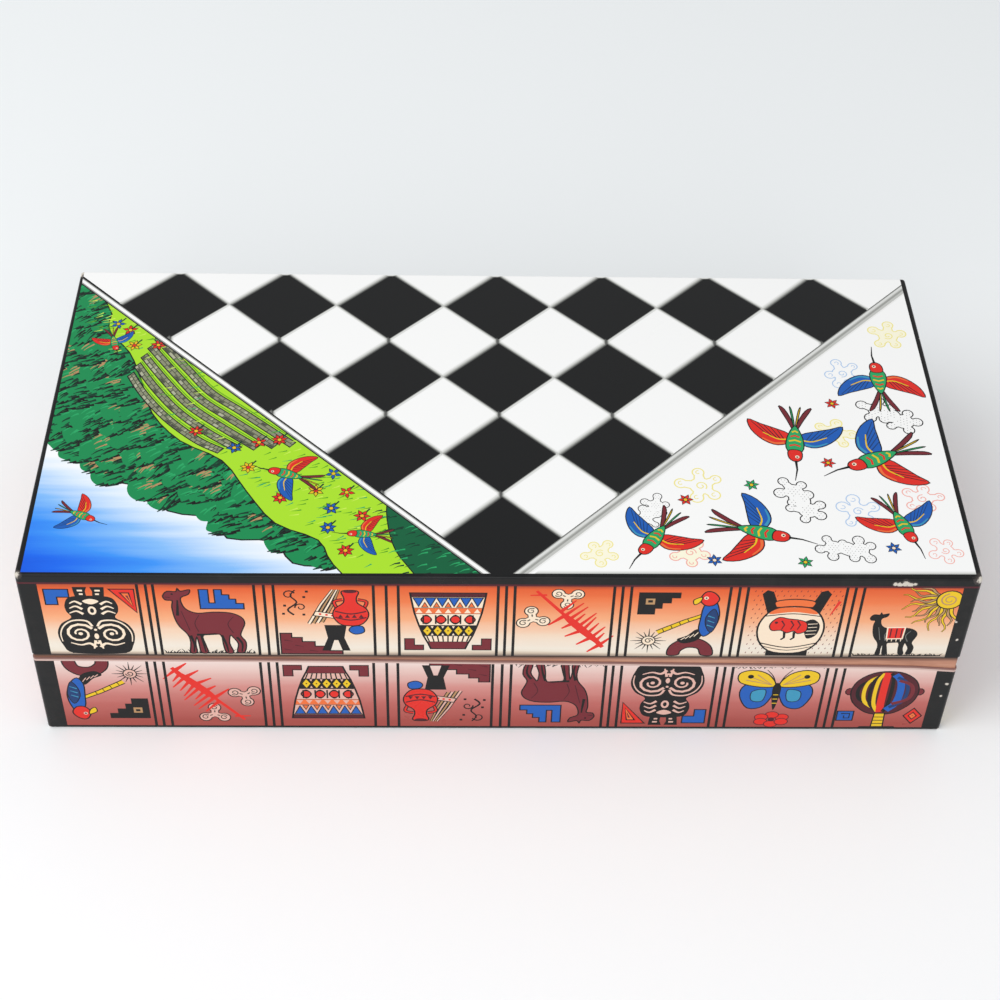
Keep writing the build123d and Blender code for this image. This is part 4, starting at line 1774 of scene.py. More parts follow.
    def _terraces(self, d: Drawing, draw: random.Random) -> None:
        """Draws dry-stone walls that step down a slope, with level ground between them.

        Args:
            d: The drawing.
            draw: Source of the stones' irregularity.
        """
        for step in range(5):
            level, shrink = 25.5 - step * 5.0, step * 2.4
            top = [(-2 - shrink * 1.6, level - 1.5), (8, level + 0.8 - step * 0.2), (24, level + 1.2),
                   (40, level - 1.0), (52 + shrink, level - 4.4)]
            top = smooth(top, False, 6)
            wall = top + [(x + 0.3, y - 3.1) for x, y in top[::-1]]
            d.lined(Ink.STONE, wall, 0.45)
            for number, (x, y) in enumerate(top[:-1]):
                nx, ny = top[number + 1]
                for course in range(2):
                    rise = -0.2 - course * 1.45
                    shift = 0.5 if course else 0.0
                    cut_x, cut_y = x + (nx - x) * shift, y + (ny - y) * shift
                    d.stroke(Ink.STONE_DEEP, [(cut_x, cut_y + rise), (cut_x + 0.15, cut_y + rise - 1.3)],
                             0.35)
                    if draw.random() < 0.4:
                        ink = Ink.STONE_LIGHT if draw.random() < 0.6 else Ink.STONE_DEEP
                        d.fill(ink, [(cut_x + 0.3, cut_y + rise - 0.1), (nx - 0.3, ny + rise - 0.1),
                                     (nx - 0.3, ny + rise - 1.1), (cut_x + 0.3, cut_y + rise - 1.1)])
            d.stroke(Ink.STONE_DEEP, [(x, y - 1.55) for x, y in top], 0.3)
            d.stroke(Ink.LIME_DEEP, [(x + 0.6, y - 3.9) for x, y in top], 0.4)

    def _grass(self, d: Drawing, draw: random.Random) -> None:
        """Draws grass strokes over the meadow.

        Args:
            d: The drawing.
            draw: Source of their places.
        """
        for _ in range(420):
            x, y = draw.uniform(-100, 98), draw.uniform(-1, 30)
            terrace = -14 < x < 64 and 2 < y < 28
            if (terrace and draw.random() < 0.75) or y > 24 - max(x - 20, 0) * 0.2:
                continue
            ink = draw.choice((Ink.LIME_DEEP, Ink.LEAF_LIGHT, Ink.LIME_LIGHT, Ink.LIME_DEEP))
            lean = draw.uniform(0.4, 2.2)
            d.stroke(ink, [(x, y), (x + lean * 0.4, y + 1.3), (x + lean, y + 2.8)], 0.55, 0.1)

    def ornament(self) -> Drawing:
        """Bright birds between pale blooms and dotted ones on a white ground.

        Returns:
            The drawing.
        """
        d = Drawing()
        reach = self.reach
        d.fill(Ink.WHITE, [(-reach - 8, -4), (reach + 8, -4), (0, reach + 8)])
        blooms = (
            (-80, 9.5, Ink.PALE_YELLOW, 1.0), (-50, 10.5, Ink.PALE_BLUE, 1.0),
            (-22, 28, Ink.PALE_YELLOW, 1.0), (33, 12, Ink.PALE_YELLOW, 1.1), (60, 30, Ink.PALE_PINK, 1.0),
            (4, 58, Ink.PALE_BLUE, 1.0), (82, 9, Ink.PALE_YELLOW, 0.85), (-17, 70, Ink.PALE_PINK, 1.0),
            (14, 41, Ink.BLACK, 0.95), (-44, 37, Ink.BLACK, 1.0), (21, 66, Ink.BLACK, 0.85),
            (-2, 90, Ink.PALE_PINK, 0.8), (55, 8, Ink.BLACK, 0.72),
        )
        for number, (x, y, line, size) in enumerate(blooms):
            dotted = line is Ink.BLACK
            ground = Ink.WHITE if dotted or number % 2 else Ink.PALE_CREAM
            d.add(self.bloom(line, ground, number, dotted), x, y, number * 31, size)
        for x, y, turn, size, flipped in (
            (-58, 21, 224, 0.86, False), (-20, 46, 160, 0.98, True), (-7, 22, 38, 0.92, False),
            (35, 42, 118, 0.9, False), (65, 17.5, 192, 0.78, True), (-1, 74, 62, 0.76, False),
        ):
            d.add(self.bird(), x, y, turn, size, flipped)
        for number, (x, y) in enumerate(((-34, 18), (20, 24), (57, 38), (-8, 36), (36, 60), (9.5, 77),
                                         (42, 12.6))):
            inks = ((Ink.RED, Ink.YELLOW), (Ink.LEAF_LIGHT, Ink.YELLOW), (Ink.BLUE, Ink.CREAM))[number % 3]
            d.add(self.flower(inks[0], inks[1], 6), x, y, number * 23, 0.72)
        return d


@dataclass(frozen=True)
class PrintVariant:
    """What sets one tray's print apart from the other's.

    The knocks are places u, v and w with a radius, the foot line is the strip's lower edge, the
    rules are the middles of the three black lines between two front panels, and the ends are
    where the strip's black end margins begin.
    """

    sky_turn: float
    ground_stops: tuple[tuple[float, str], ...]
    knocks: tuple[tuple[float, float, float, float], ...]
    fold_drop: float
    first_motif: Motif
    foot_line: tuple[Point, ...]
    ends: Point
    rules: tuple[tuple[float, float, float], ...]
    rubbed_foot: bool = False
    swap: dict[Ink, Ink] = field(default_factory=dict)
    upside_down: tuple[Motif, ...] = ()


VARIANTS = {
    Tray.BASE: PrintVariant(
        sky_turn=24.0,
        ground_stops=((0.0, "#A34C45"), (0.3, "#B96660"), (0.55, "#CE8D86"), (0.8, "#E1C3BB"),
                      (1.0, "#EDE0DB")),
        knocks=(
            (-160, -80, 0, 1.2), (160, -80, 0, 1.0), (-157.9, -80, -25.9, 0.6), (-157.0, -80, -19.3, 0.5),
            (84, -80, 0, 0.4), (160, 10, 0, 0.6),
        ),
        fold_drop=1.6,
        first_motif=Motif.THORNS,
        foot_line=(
            (-400.0, -38.6), (-190.0, -35.0), (-160.0, -33.9), (-145.0, -35.2), (-130.0, -35.6),
            (-88.0, -36.2), (-15.0, -37.1), (50.0, -37.8), (95.0, -37.95), (160.0, -38.3), (400.0, -38.6),
        ),
        ends=(-153.1, 152.9),
        rules=(
            (-120.75, -117.75, -114.75), (-81.6, -78.75, -76.0), (-42.75, -39.8, -37.25), (-4.4, -1.25, 2.0),
            (34.9, 38.75, 43.25), (76.5, 79.4, 82.25), (115.5, 118.5, 121.25),
        ),
        rubbed_foot=True,
        swap={Ink.CREAM: Ink.BLUSH},
        upside_down=(Motif.BUTTERFLY, Motif.STRIPED_POT),
    ),
    Tray.LID: PrintVariant(
        sky_turn=-24.0,
        # The stops from 0.94 on darken the strip's foot: painted shade along the seam.
        ground_stops=(
            (0.0, "#7E3024"), (0.022, "#B94F2C"), (0.05, "#DC5C2C"), (0.22, "#E77A48"), (0.46, "#EEA67A"),
            (0.7, "#ECD2BA"), (0.88, "#E9E0D2"), (0.94, "#E6DBCA"), (0.965, "#CDBCA8"), (1.0, "#83746A"),
        ),
        knocks=(
            (-160, -80, 0, 1.7), (160, -80, 0, 2.0), (131.0, -80, -2.5, 0.8), (132.6, -80, -2.8, 1.1),
            (134.3, -80, -2.4, 1.3), (136.0, -80, -2.9, 1.1), (137.6, -80, -2.6, 0.7),
            (154.0, -80, -20.7, 0.6), (154.9, -80, -21.3, 0.4), (156.9, -80, -30.5, 0.5),
            (-160, 79.5, 0, 2.6), (160, 44, 0, 0.5),
        ),
        fold_drop=3.5,
        first_motif=Motif.VESSEL,
        foot_line=((-400.0, -39.65), (400.0, -39.65)),
        ends=(-153.2, 154.3),
        rules=(
            (-120.5, -117.6, -115.25), (-82.0, -78.75, -75.6), (-42.5, -38.25, -34.25), (-1.0, 1.75, 4.6),
            (37.7, 40.5, 43.4), (76.5, 79.5, 82.3), (115.5, 118.3, 121.2),
        ),
    ),
}


@dataclass
class TrayPrint:
    """The printed sheets of one tray: outer sheet, playing face and picture strip.

    Both trays share the flat inks and, once it is cut, the playing face.
    """

    place: TrayPlace
    variant: PrintVariant
    flat: dict[Ink, bpy.types.Material]
    faces: list[InkSheet]
    paper: float = 0.5
    edge_radius: float = 0.9
    corner_radius: float = 1.2
    border: float = 1.3
    margin: float = 2.0
    back_drop: float = 4.3
    back_turn: float = 5.0
    grid_reach: float = 162.8
    grid_middle: float = 80.85
    squares: int = 8
    square_gap: float = 0.75
    left_strip: float = 3.0
    right_strip: float = 5.1
    rule_width: float = 1.0
    rule_pitch: float = 2.9
    side_panels: int = 4
    past_fold: float = 90.0
    past_side: float = 170.0
    under_strip: float = -50.0
    sky_end: Point = (-126.0, -18.0)
    sky_stops: tuple[tuple[float, str], ...] = (
        (0.0, "#0A4FD6"), (0.15, "#1768EA"), (0.34, "#3C93F4"), (0.5, "#84BCF7"), (0.66, "#D8E9FB"),
        (0.76, "#F6F8FA"),
    )
    pictures: CornerPictures = field(default_factory=CornerPictures)
    panels: PanelPictures = field(default_factory=PanelPictures)

    def _strip_end(self, turn: float = math.pi / 2) -> float:
        """Gives how far along the strip the front corner has made a turn."""
        return self.place.half_width - self.corner_radius + self.corner_radius * turn

    def _side_end(self) -> float:
        """Gives how far along the strip its end lies, just before the back."""
        return self._strip_end() + 2 * self.place.half_depth - self.corner_radius - self.back_turn

    def _face_surface(self, u: float, v: float, depth: float) -> Vector:
        """Bends the playing face over the fold and down the back.

        Args:
            u: Place along the fold.
            v: Place towards the fold, on past it down the back.
            depth: Height over the paper's face, negative below it.

        Returns:
            The place in the frame.
        """
        start = self.place.half_depth - self.edge_radius
        along = v - start
        if along <= 0:
            return self.place.point(u, v, depth)
        turn = min(along / self.edge_radius, math.pi / 2)
        drop = max(along - self.edge_radius * math.pi / 2, 0.0)
        reach = self.edge_radius + depth
        return self.place.point(
            u, start + reach * math.sin(turn), reach * math.cos(turn) - self.edge_radius - drop
        )

    def _wall_surface(self, s: float, h: float, depth: float) -> Vector:
        """Bends the strip round the tray's front corners.

        Args:
            s: Place along the strip.
            h: Height up to the outer face.
            depth: Height over the paper's face, negative below it.

        Returns:
            The place in the frame.
        """
        a, b, r = self.place.half_width, self.place.half_depth, self.corner_radius
        side, along = (1 if s > 0 else -1), abs(s) - (a - r)
        if along <= 0:
            return self.place.point(s, -b - depth, h)
        turn = along / r
        if turn < math.pi / 2:
            reach = r + depth
            return self.place.point(
                side * (a - r + reach * math.sin(turn)), r - b - reach * math.cos(turn), h
            )
        return self.place.point(side * (a + depth), r - b + along - r * math.pi / 2, h)

    def _beside_grid(self, side: int, near: float, far: float, foot: float) -> list[Point]:
        """Gives a band of the strip along one slanting side of the board.

        Args:
            side: Left (-1) or right (1), of which the left one leans a little.
            near: Distance of its near edge from the board.
            far: Distance of its far edge.
            foot: How far it reaches towards the front.

        Returns:
            The band's outline.
        """
        line = []
        for gap, v in ((near, foot), (near, self.past_fold), (far, self.past_fold), (far, foot)):
            lean = (v + 20.0) * 0.005 if side < 0 else 0.0
            edge = self.grid_reach - self.grid_middle + v
            line.append((side * (edge + (gap + lean) * math.sqrt(2)), v))
        return line

    def _tile(self, gaps: tuple[float, ...], nip: float) -> list[Point]:
        """Gives a light square, by how far its soft edges lie outside the ruled ones.

        Args:
            gaps: Distances of the upper right, upper left, lower right and lower left edges.
            nip: How much of each side corner is cut off.

        Returns:
            Its outline.
        """
        half = self.grid_reach / self.squares
        right_top, left_top, right_foot, left_foot = (half + gap * math.sqrt(2) for gap in gaps)
        right, left = half - nip + 0.3, half - nip - 0.3
        return [
            (right, right - right_foot), (right, right_top - right),
            ((right_top - left_top) / 2, (right_top + left_top) / 2),
            (-left, left_top - left), (-left, left - left_foot),
            ((right_foot - left_foot) / 2, -(right_foot + left_foot) / 2),
        ]

    def _board(self) -> Drawing:
        """Draws the half board: dark squares on black and light squares with soft lower edges.

        Returns:
            The drawing.
        """
        d = Drawing()
        half = self.grid_reach / self.squares
        edge, low, top = self.grid_reach - self.grid_middle, -self.place.half_depth, self.past_fold
        d.area(Ink.BLACK, [
            (-(edge + low) - 1.4, low), (-(edge + top) - 0.8, top), (edge + top, top),
            (edge + low + 1.4, low),
        ], "outer_sheet")
        middles = [
            (row, (2 * number - (self.squares - row - 1)) * half, self.grid_middle - row * half)
            for row in range(self.squares) for number in range(self.squares - row)
        ]
        inner = half - self.square_gap
        for row, u, v in middles:
            if row % 2:
                d.area(Ink.BLACK, diamond(u, v, inner, inner), "dark_squares")
        for row, u, v in middles:
            if row and not row % 2:
                for ink, wide, high in ((Ink.TONE_DARKEST, 1.6, 2.1), (Ink.TONE_DEEP, 1.2, 1.5)):
                    for x in (u - half, u + half):
                        d.area(ink, diamond(x, v, wide, high), "light_squares")
        tones = (
            (Ink.TONE_DARKEST, (1.0, 0.42, 1.5, 0.55), 0.1), (Ink.TONE_DEEP, (0.8, 0.32, 1.12, 0.24), 0.3),
            (Ink.TONE_MIDDLE, (0.6, 0.22, 0.78, -0.03), 0.5), (Ink.TONE_HALF, (0.4, 0.1, 0.34, -0.28), 0.75),
            (Ink.TONE_LIGHT, (0.14, -0.08, -0.1, -0.58), 1.0),
            (Ink.TONE_FAINT, (-0.2, -0.75, -0.6, -0.95), 1.3), (Ink.WHITE, (-0.4, -1.05, -1.0, -1.3), 1.6),
        )
        for ink, (*upper, right_foot, left_foot), nip in tones:
            for row, u, v in middles:
                if not row % 2:
                    last = (self.squares - row - 1) * half
                    lower = (-0.1 if u > last - half else right_foot, -0.1 if u < half - last else left_foot)
                    outline = self._tile((*upper, *lower), nip)
                    d.area(ink, [(u + x, v + y) for x, y in outline], "light_squares")
                if row == 1:
                    level = 78.35 + nip * 0.65
                    cap = (
                        (-4, 83), (-2.4, level + 0.35), (-0.9, level), (0.9, level), (2.4, level + 0.35),
                        (4, 83),
                    )
                    d.area(ink, [(u + x, y) for x, y in cap], "light_squares")
        for row, u, v in middles:
            if row % 2 and row < self.squares - 1:
                for x in (u - half, u + half):
                    neck = ((x - 0.5, v + 0.3), (x, v - 0.7), (x + 0.5, v + 0.3), (x, v + 1.2))
                    d.area(Ink.TONE_HALF, neck, "light_squares")
        return d

    def _face(self) -> Drawing:
        """Draws the whole playing face.

        Returns:
            The drawing.
        """
        root = math.sqrt(2)
        level = (self.grid_reach - self.grid_middle) / root
        corner = (self.place.half_width - self.place.half_depth) / root

        def left(x: float, y: float) -> Point:
            """Places the landscape, its foot along the board's left side."""
            p, q = level + self.left_strip + y, corner + x
            return -(q + p) / root, (q - p) / root

        def right(x: float, y: float) -> Point:
            """Places the ornament, its foot along the board's right side."""
            p, q = level + self.right_strip + y, x - corner
            return (p - q) / root, -(p + q) / root

        d = self.pictures.landscape().mapped(left, "landscape_picture")
        d.patches += self.pictures.ornament().mapped(right, "ornament_picture").patches
        front, side_edge = self.margin - self.place.half_depth, self.place.half_width - self.margin

        def level_line(gap: float, near: float, far: float) -> tuple[Point, ...]:
            """Gives the band below a line that slants as the front margin's edge does."""
            low, high = (front + gap - 0.33 + u * 0.0042 for u in (near, far))
            return (near, low - 5.0), (far, high - 5.0), (far, high), (near, low)

        for gap, ink in ((1.4, Ink.TONE_FAINT), (0.9, Ink.TONE_LIGHT), (0.45, Ink.TONE_HALF)):
            d.area(ink, level_line(gap, 6.0, self.past_side), "ornament_picture")
        d.patches += self._board().patches
        left_bands = (
            (-0.3, Ink.BLACK), (0.3, Ink.TONE_MIDDLE), (0.7, Ink.WHITE), (2.0, Ink.TONE_MIDDLE),
            (2.5, Ink.BLACK), (3.0, None),
        )
        right_bands = (
            (0.0, Ink.TONE_DEEP), (0.2, Ink.TONE_MIDDLE), (0.45, Ink.TONE_LIGHT), (1.3, Ink.TONE_HALF),
            (1.7, Ink.TONE_MIDDLE), (2.5, Ink.TONE_HALF), (3.6, Ink.TONE_FAINT), (4.2, Ink.WHITE),
            (5.1, None),
        )
        for side, bands in ((-1, left_bands), (1, right_bands)):
            for (near, ink), (far, _) in zip(bands, bands[1:]):
                d.area(ink, self._beside_grid(side, near, far, front - 2.0), "border_strips")
        wide, high = self.past_side, self.past_fold
        for margin in (
            level_line(0.0, -wide, wide), box_outline(side_edge, -high, wide, high),
            ((-wide, -high), (0.05 - side_edge, -high), (-side_edge - 0.75, high), (-wide, high)),
        ):
            d.area(Ink.BLACK, margin, "outer_sheet")
        return d

    def _foot(self, s: float) -> float:
        """Gives the height of the strip's lower edge at a place along the strip.

        Args:
            s: The place.

        Returns:
            The height.
        """
        line = self.variant.foot_line
        for (start, low), (end, high) in zip(line, line[1:]):
            if start <= s <= end:
                return low + (high - low) * (s - start) / (end - start)
        return line[0][1]

    def _strip(self) -> Drawing:
        """Draws the picture strip: ground, rules, end margins and one picture to a panel.

        Returns:
            The drawing.
        """
        d, look = Drawing(), self.variant
        turned, end, above, under = self._strip_end(), self._side_end(), 1.0, self.under_strip
        d.area(Ink.PANEL_GROUND, [*look.foot_line[::-1], (-end - 1, above), (end + 1, above)],
               "picture_strip")
        pitch = 2 * (self.place.half_depth - self.corner_radius) / self.side_panels
        start = turned - self.corner_radius + 0.4
        right = [start + pitch * number for number in range(self.side_panels + 1)]
        left = [-place for place in right[::-1]]
        front = [look.ends[0] + self.rule_width / 2]
        front += [place for first, _, last in look.rules for place in (first, last)]
        front += [look.ends[1] - self.rule_width / 2]
        edges = [*zip(left, left[1:]), *zip(front[::2], front[1::2]), *zip(right, right[1:])]
        for number, (start, stop) in enumerate(edges):
            motif = Motif((look.first_motif.value + number) % len(Motif))
            middle = (start + stop) / 2
            foot = self._foot(middle)
            rise, turn = (35.6, 180) if motif in look.upside_down else (0.6, 0)
            picture = self.panels.draw(motif)
            d.add(picture, middle, foot + rise, turn, 0.97, swap=look.swap, plate="picture_strip")
            if motif is Motif.BUTTERFLY:
                turf = Drawing()
                self.panels.grass(turf, -15.4, 15.4, 33, 1.8)
                d.add(turf, middle, foot + 0.6, plate="picture_strip")
        rules = [
            side * place + shift
            for side in (-1, 1) for place in right[1:-1] for shift in (-self.rule_pitch, 0, self.rule_pitch)
        ]
        rules += [place for triple in look.rules for place in triple]
        blacks = [(middle - self.rule_width / 2, middle + self.rule_width / 2) for middle in rules]
        blacks += [(-turned - 1.6, look.ends[0]), (look.ends[1], turned + 1.6)]
        for start, stop in blacks:
            d.area(Ink.BLACK, box_outline(start, under, stop, above), "strip_rules")
        # The base's foot gets a dark hem with a paler fringe: painted shade along the seam under the lid.
        if look.rubbed_foot:
            for ink, far in ((Ink.RUBBED_PALE, 1.5), (Ink.RUBBED, 0.7)):
                hem = [*look.foot_line, *((s, h + far) for s, h in look.foot_line[::-1])]
                d.area(ink, hem, "picture_strip")
        else:
            d.area(Ink.WINE, box_outline(-end - 1, -self.back_drop, end + 1, above), "picture_strip")
        return d

    def _edge_path(self, inset: float) -> list[Point]:
        """Gives the tray's outline from one back corner round the front to the other.

        Args:
            inset: How far inside the outline it runs.

        Returns:
            The points, of which the seventh and the seventh last end the back corners' stretch.
        """
        a, b, r = self.place.half_width, self.place.half_depth, self.corner_radius
        line = [(self.border - a, b - inset)]
        for number, (side_x, side_y) in enumerate(((-1, 1), (-1, -1), (1, -1), (1, 1))):
            for step in range(5):
                turn = math.radians(90 + 90 * number + 22.5 * step)
                line.append(
                    polar(side_x * (a - r), side_y * (b - r), r - inset, turn) if inset < r
                    else (side_x * (a - inset), side_y * (b - inset))
                )
            if not number % 2:
                line.append((side_x * (a - inset), b - self.back_turn))
        line.append((a - self.border, b - inset))
        return line

    def _profile(self, drop: float) -> list[Point]:
        """Gives the folded sheet's section as inset and height, round once from its foot.

        Args:
            drop: How far the fold comes down the wall.

        Returns:
            The section's points.
        """
        r, thick = self.edge_radius, self.paper
        outer, inner = (
            [(r - far * math.cos(turn), far * math.sin(turn) - r)
             for turn in (math.radians(15 * step) for step in range(7))]
            for far in (r, r - thick)
        )
        return [
            (0.0, -drop), *outer, (self.border, 0.0), (self.border, -thick), *inner[::-1], (thick, -drop),
        ]

    def _border(self, maker: MeshMaker) -> None:
        """Folds the black border over the tray's edges.

        Args:
            maker: Mesh that gets the border.
        """
        stretches = ((0, 7, self.back_drop), (6, -6, self.variant.fold_drop), (-7, None, self.back_drop))
        for first, last, drop in stretches:
            own = MeshMaker()
            rings = [
                [own.weld(self.place.point(x, y, height)) for x, y in self._edge_path(inset)[first:last]]
                for inset, height in self._profile(drop)
            ]
            for low, high in zip(rings, rings[1:] + rings[:1]):
                for place in range(len(low) - 1):
                    own.face([low[place], low[place + 1], high[place + 1], high[place]], Ink.BLACK)
            own.face([ring[0] for ring in rings], Ink.BLACK)
            own.face([ring[-1] for ring in rings[::-1]], Ink.BLACK)
            start = len(maker.points)
            maker.points += own.points
            maker.faces += [tuple(corner + start for corner in face) for face in own.faces]
            maker.inks += own.inks

    def _cut_face(self) -> InkSheet:
        """Cuts the playing face, with its creases over the fold.

        Returns:
            The cut sheet.
        """
        reach, bend = self.place.half_width - self.border, self.place.half_depth - self.edge_radius
        arc = self.edge_radius * math.pi / 2
        back = bend + arc + self.back_drop - self.edge_radius
        creases = [((-reach, bend + arc * step / 6), (reach, bend + arc * step / 6)) for step in range(7)]
        outline = box_outline(-reach, self.border - self.place.half_depth, reach, back)
        sheet = InkSheet(outline, self._face(), creases)
        sheet.cut()
        return sheet

    def _cut_strip(self) -> InkSheet:
        """Cuts the picture strip, with its creases round the front corners.

        Returns:
            The cut sheet.
        """
        end, top = self._side_end(), -self.variant.fold_drop
        turned = [side * self._strip_end(math.pi / 2 * step / 4) for side in (-1, 1) for step in range(5)]
        outline = [
            (-end, top), (-end, self._foot(-end)),
            *((s, h) for s, h in self.variant.foot_line if abs(s) < end), (end, self._foot(end)),
            (end, top),
        ]
        sheet = InkSheet(outline, self._strip(), [((s, -45.0), (s, top)) for s in turned])
        sheet.cut()
        return sheet

    def _books(self) -> tuple[InkBook, InkBook]:
        """Mixes the tray's blended grounds and its worn black.

        Returns:
            The inks of its pictures and squares, and those of its margins and rules.
        """
        name, point, look = self.place.tray.value, self.place.point, self.variant
        sky = BlendedInk(
            f"{name}_sky", point(-self.place.half_width, -self.place.half_depth, 0), point(*self.sky_end, 0),
            self.sky_stops, streak_size=(60.0, 5.0, 60.0), streak_depth=0.05,
            turn=math.radians(look.sky_turn),
        )
        ground = BlendedInk(
            f"{name}_strip_ground", point(0, 0, -4), point(0, 0, -39.6), look.ground_stops,
            streak_size=(90.0, 90.0, 4.0), streak_depth=0.02,
        )
        spots = tuple((point(u, v, w), radius) for u, v, w, radius in look.knocks)
        grounds = {Ink.SKY: sky.material(), Ink.PANEL_GROUND: ground.material()}
        worn = WornBlackPrint(f"{name}_black", spots).material()
        return InkBook(grounds, self.flat), InkBook({Ink.BLACK: worn}, self.flat)

    def build(self) -> None:
        """Builds the tray's printed pieces and lets each ride on its tray."""
        name = self.place.tray.value
        if not self.faces:
            self.faces.append(self._cut_face())
        face, strip = self.faces[0], self._cut_strip()
        colours, blacks = self._books()
        pieces = (
            (face, "light_squares", "light_squares_print", "white_print", colours),
            (face, "dark_squares", "dark_squares_print", "black_print", colours),
            (face, "border_strips", "border_strips_print", "white_print", colours),
            (face, "landscape_picture", "landscape_print", "landscape_print", colours),
            (face, "ornament_picture", "ornament_print", "ornament_print", colours),
            (face, "outer_sheet", "outer_sheet_paper", "black_print", blacks),
            (strip, "picture_strip", "picture_strip_print", "strip_print", colours),
            (strip, "strip_rules", "strip_rules_print", "black_print", blacks),
        )
        for sheet, plate, piece_name, slot, book in pieces:
            maker = sheet.plate(plate, self._wall_surface if sheet is strip else self._face_surface)
            if plate == "outer_sheet":
                self._border(maker)
            piece = maker.finish(f"{name}_{piece_name}", book)
            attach(piece, name)
            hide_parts(f"{name}_{plate}")
            log.info("%s: %d faces in %d inks", piece.name, len(maker.faces), len(set(maker.inks)))


@dataclass
class HingeScrews:
    """Slotted countersunk brass screws, four to a tray, in the tray's rim."""

    head_radius: float = 1.5
    shank_radius: float = 0.8
    length: float = 8.0
    tip: float = 1.2
    slot_width: float = 0.42
    slot_depth: float = 0.4
    spacing: float = 15.0
    hinge_distance: float = 105.0
    row_y: float = 75.65
    rim: float = 39.8
    seed: int = 5

    def _sizes(self) -> dict[str, float]:
        """Gives the sizes that the node tree takes, by the names of its inputs.

        Returns:
            The sizes in metres.
        """
        fields = ("head_radius", "shank_radius", "length", "tip", "slot_width", "slot_depth", "spacing",
                  "hinge_distance")
        return {name.replace("_", " ").title(): getattr(self, name) * MM for name in fields}

    def _screw(self, tree: bpy.types.NodeTree, given: bpy.types.bpy_prop_collection) -> bpy.types.Node:
        """Turns one screw with a pointed shank and cuts its slot.

        Args:
            tree: The node tree.
            given: The tree's own inputs.

        Returns:
            The node that gives the screw, hanging down from its head.
        """
        foot = add_node(tree, "ShaderNodeMath", {0: given["Length"], 1: -1.0}, operation="MULTIPLY")
        axis = add_node(tree, "GeometryNodeCurvePrimitiveLine", {
            "Start": (0, 0, 0), "End": add_node(tree, "ShaderNodeCombineXYZ", {"Z": foot}),
        })
        fine = add_node(tree, "GeometryNodeResampleCurve", {"Curve": axis, "Count": 41})
        height = add_node(tree, "ShaderNodeSeparateXYZ", {
            "Vector": add_node(tree, "GeometryNodeInputPosition"),
        }).outputs["Z"]
        cone = add_node(tree, "ShaderNodeMath", {0: given["Head Radius"], 1: height}, operation="ADD")
        head = add_node(tree, "ShaderNodeMath", {0: cone, 1: given["Shank Radius"]}, operation="MAXIMUM")
        slope = add_node(tree, "ShaderNodeMath", {
            0: given["Shank Radius"], 1: given["Tip"],
        }, operation="DIVIDE")
        over_tip = add_node(tree, "ShaderNodeMath", {0: height, 1: given["Length"]}, operation="ADD")
        point = add_node(tree, "ShaderNodeMath", {0: over_tip, 1: slope}, operation="MULTIPLY")
        blunt = add_node(tree, "ShaderNodeMath", {0: point, 1: 0.02 * MM}, operation="ADD")
        radius = add_node(tree, "ShaderNodeMath", {0: head, 1: blunt}, operation="MINIMUM")
        shaped = add_node(tree, "GeometryNodeSetCurveRadius", {"Curve": fine, "Radius": radius})
        ring = add_node(tree, "GeometryNodeCurvePrimitiveCircle", {"Resolution": 24, "Radius": 1.0})
        body = add_node(tree, "GeometryNodeCurveToMesh", {
            "Curve": shaped, "Profile Curve": ring, "Fill Caps": True,
        })
        if "Scale" in body.inputs:
            connect(tree, body, {"Scale": radius})
        slot = add_node(tree, "ShaderNodeCombineXYZ", {
            "X": add_node(tree, "ShaderNodeMath", {0: given["Head Radius"], 1: 3.0}, operation="MULTIPLY"),
            "Y": given["Slot Width"],
            "Z": add_node(tree, "ShaderNodeMath", {0: given["Slot Depth"], 1: 2.0}, operation="MULTIPLY"),
        })
        return add_node(tree, "GeometryNodeMeshBoolean", {
            "Mesh 1": body, "Mesh 2": add_node(tree, "GeometryNodeMeshCube", {"Size": slot}),
        }, operation="DIFFERENCE", solver="EXACT")

    def _tree(self) -> tuple[bpy.types.NodeTree, dict[str, str]]:
        """Builds the node tree that turns, slots and places the screws.

        Returns:
            The tree, and the identifiers of its named inputs.
        """
        tree = bpy.data.node_groups.new("hinge_screws", "GeometryNodeTree")
        tree.interface.new_socket("Geometry", in_out="OUTPUT", socket_type="NodeSocketGeometry")
        kinds = dict.fromkeys(self._sizes(), "Float") | {"Seed": "Int", "Brass": "Material"}
        keys = {
            name: tree.interface.new_socket(name, in_out="INPUT", socket_type=f"NodeSocket{kind}").identifier
            for name, kind in kinds.items()
        }
        given = add_node(tree, "NodeGroupInput").outputs
        screw = self._screw(tree, given)
        pair, hinges = (
            add_node(tree, "GeometryNodeMeshLine", {"Count": 2} | {
                name: add_node(tree, "ShaderNodeCombineXYZ", {
                    "X": add_node(tree, "ShaderNodeMath", {0: given[distance], 1: share},
                                  operation="MULTIPLY"),
                })
                for name, share in (("Start Location", -half), ("Offset", 2 * half))
            })
            for distance, half in (("Spacing", 0.5), ("Hinge Distance", 1.0))
        )
        pairs = add_node(tree, "GeometryNodeInstanceOnPoints", {"Points": hinges, "Instance": pair})
        turn = add_node(tree, "FunctionNodeRandomValue", {
            0: (0, 0, 0), 1: (0, 0, math.pi), "Seed": given["Seed"],
        }, data_type="FLOAT_VECTOR")
        screws = add_node(tree, "GeometryNodeInstanceOnPoints", {
            "Points": add_node(tree, "GeometryNodeRealizeInstances", {"Geometry": pairs}),
            "Instance": screw, "Rotation": turn,
        })
        real = add_node(tree, "GeometryNodeRealizeInstances", {"Geometry": screws})
        dressed = add_node(tree, "GeometryNodeSetMaterial", {"Geometry": real, "Material": given["Brass"]})
        add_node(tree, "NodeGroupOutput", {0: dressed})
        return tree, keys

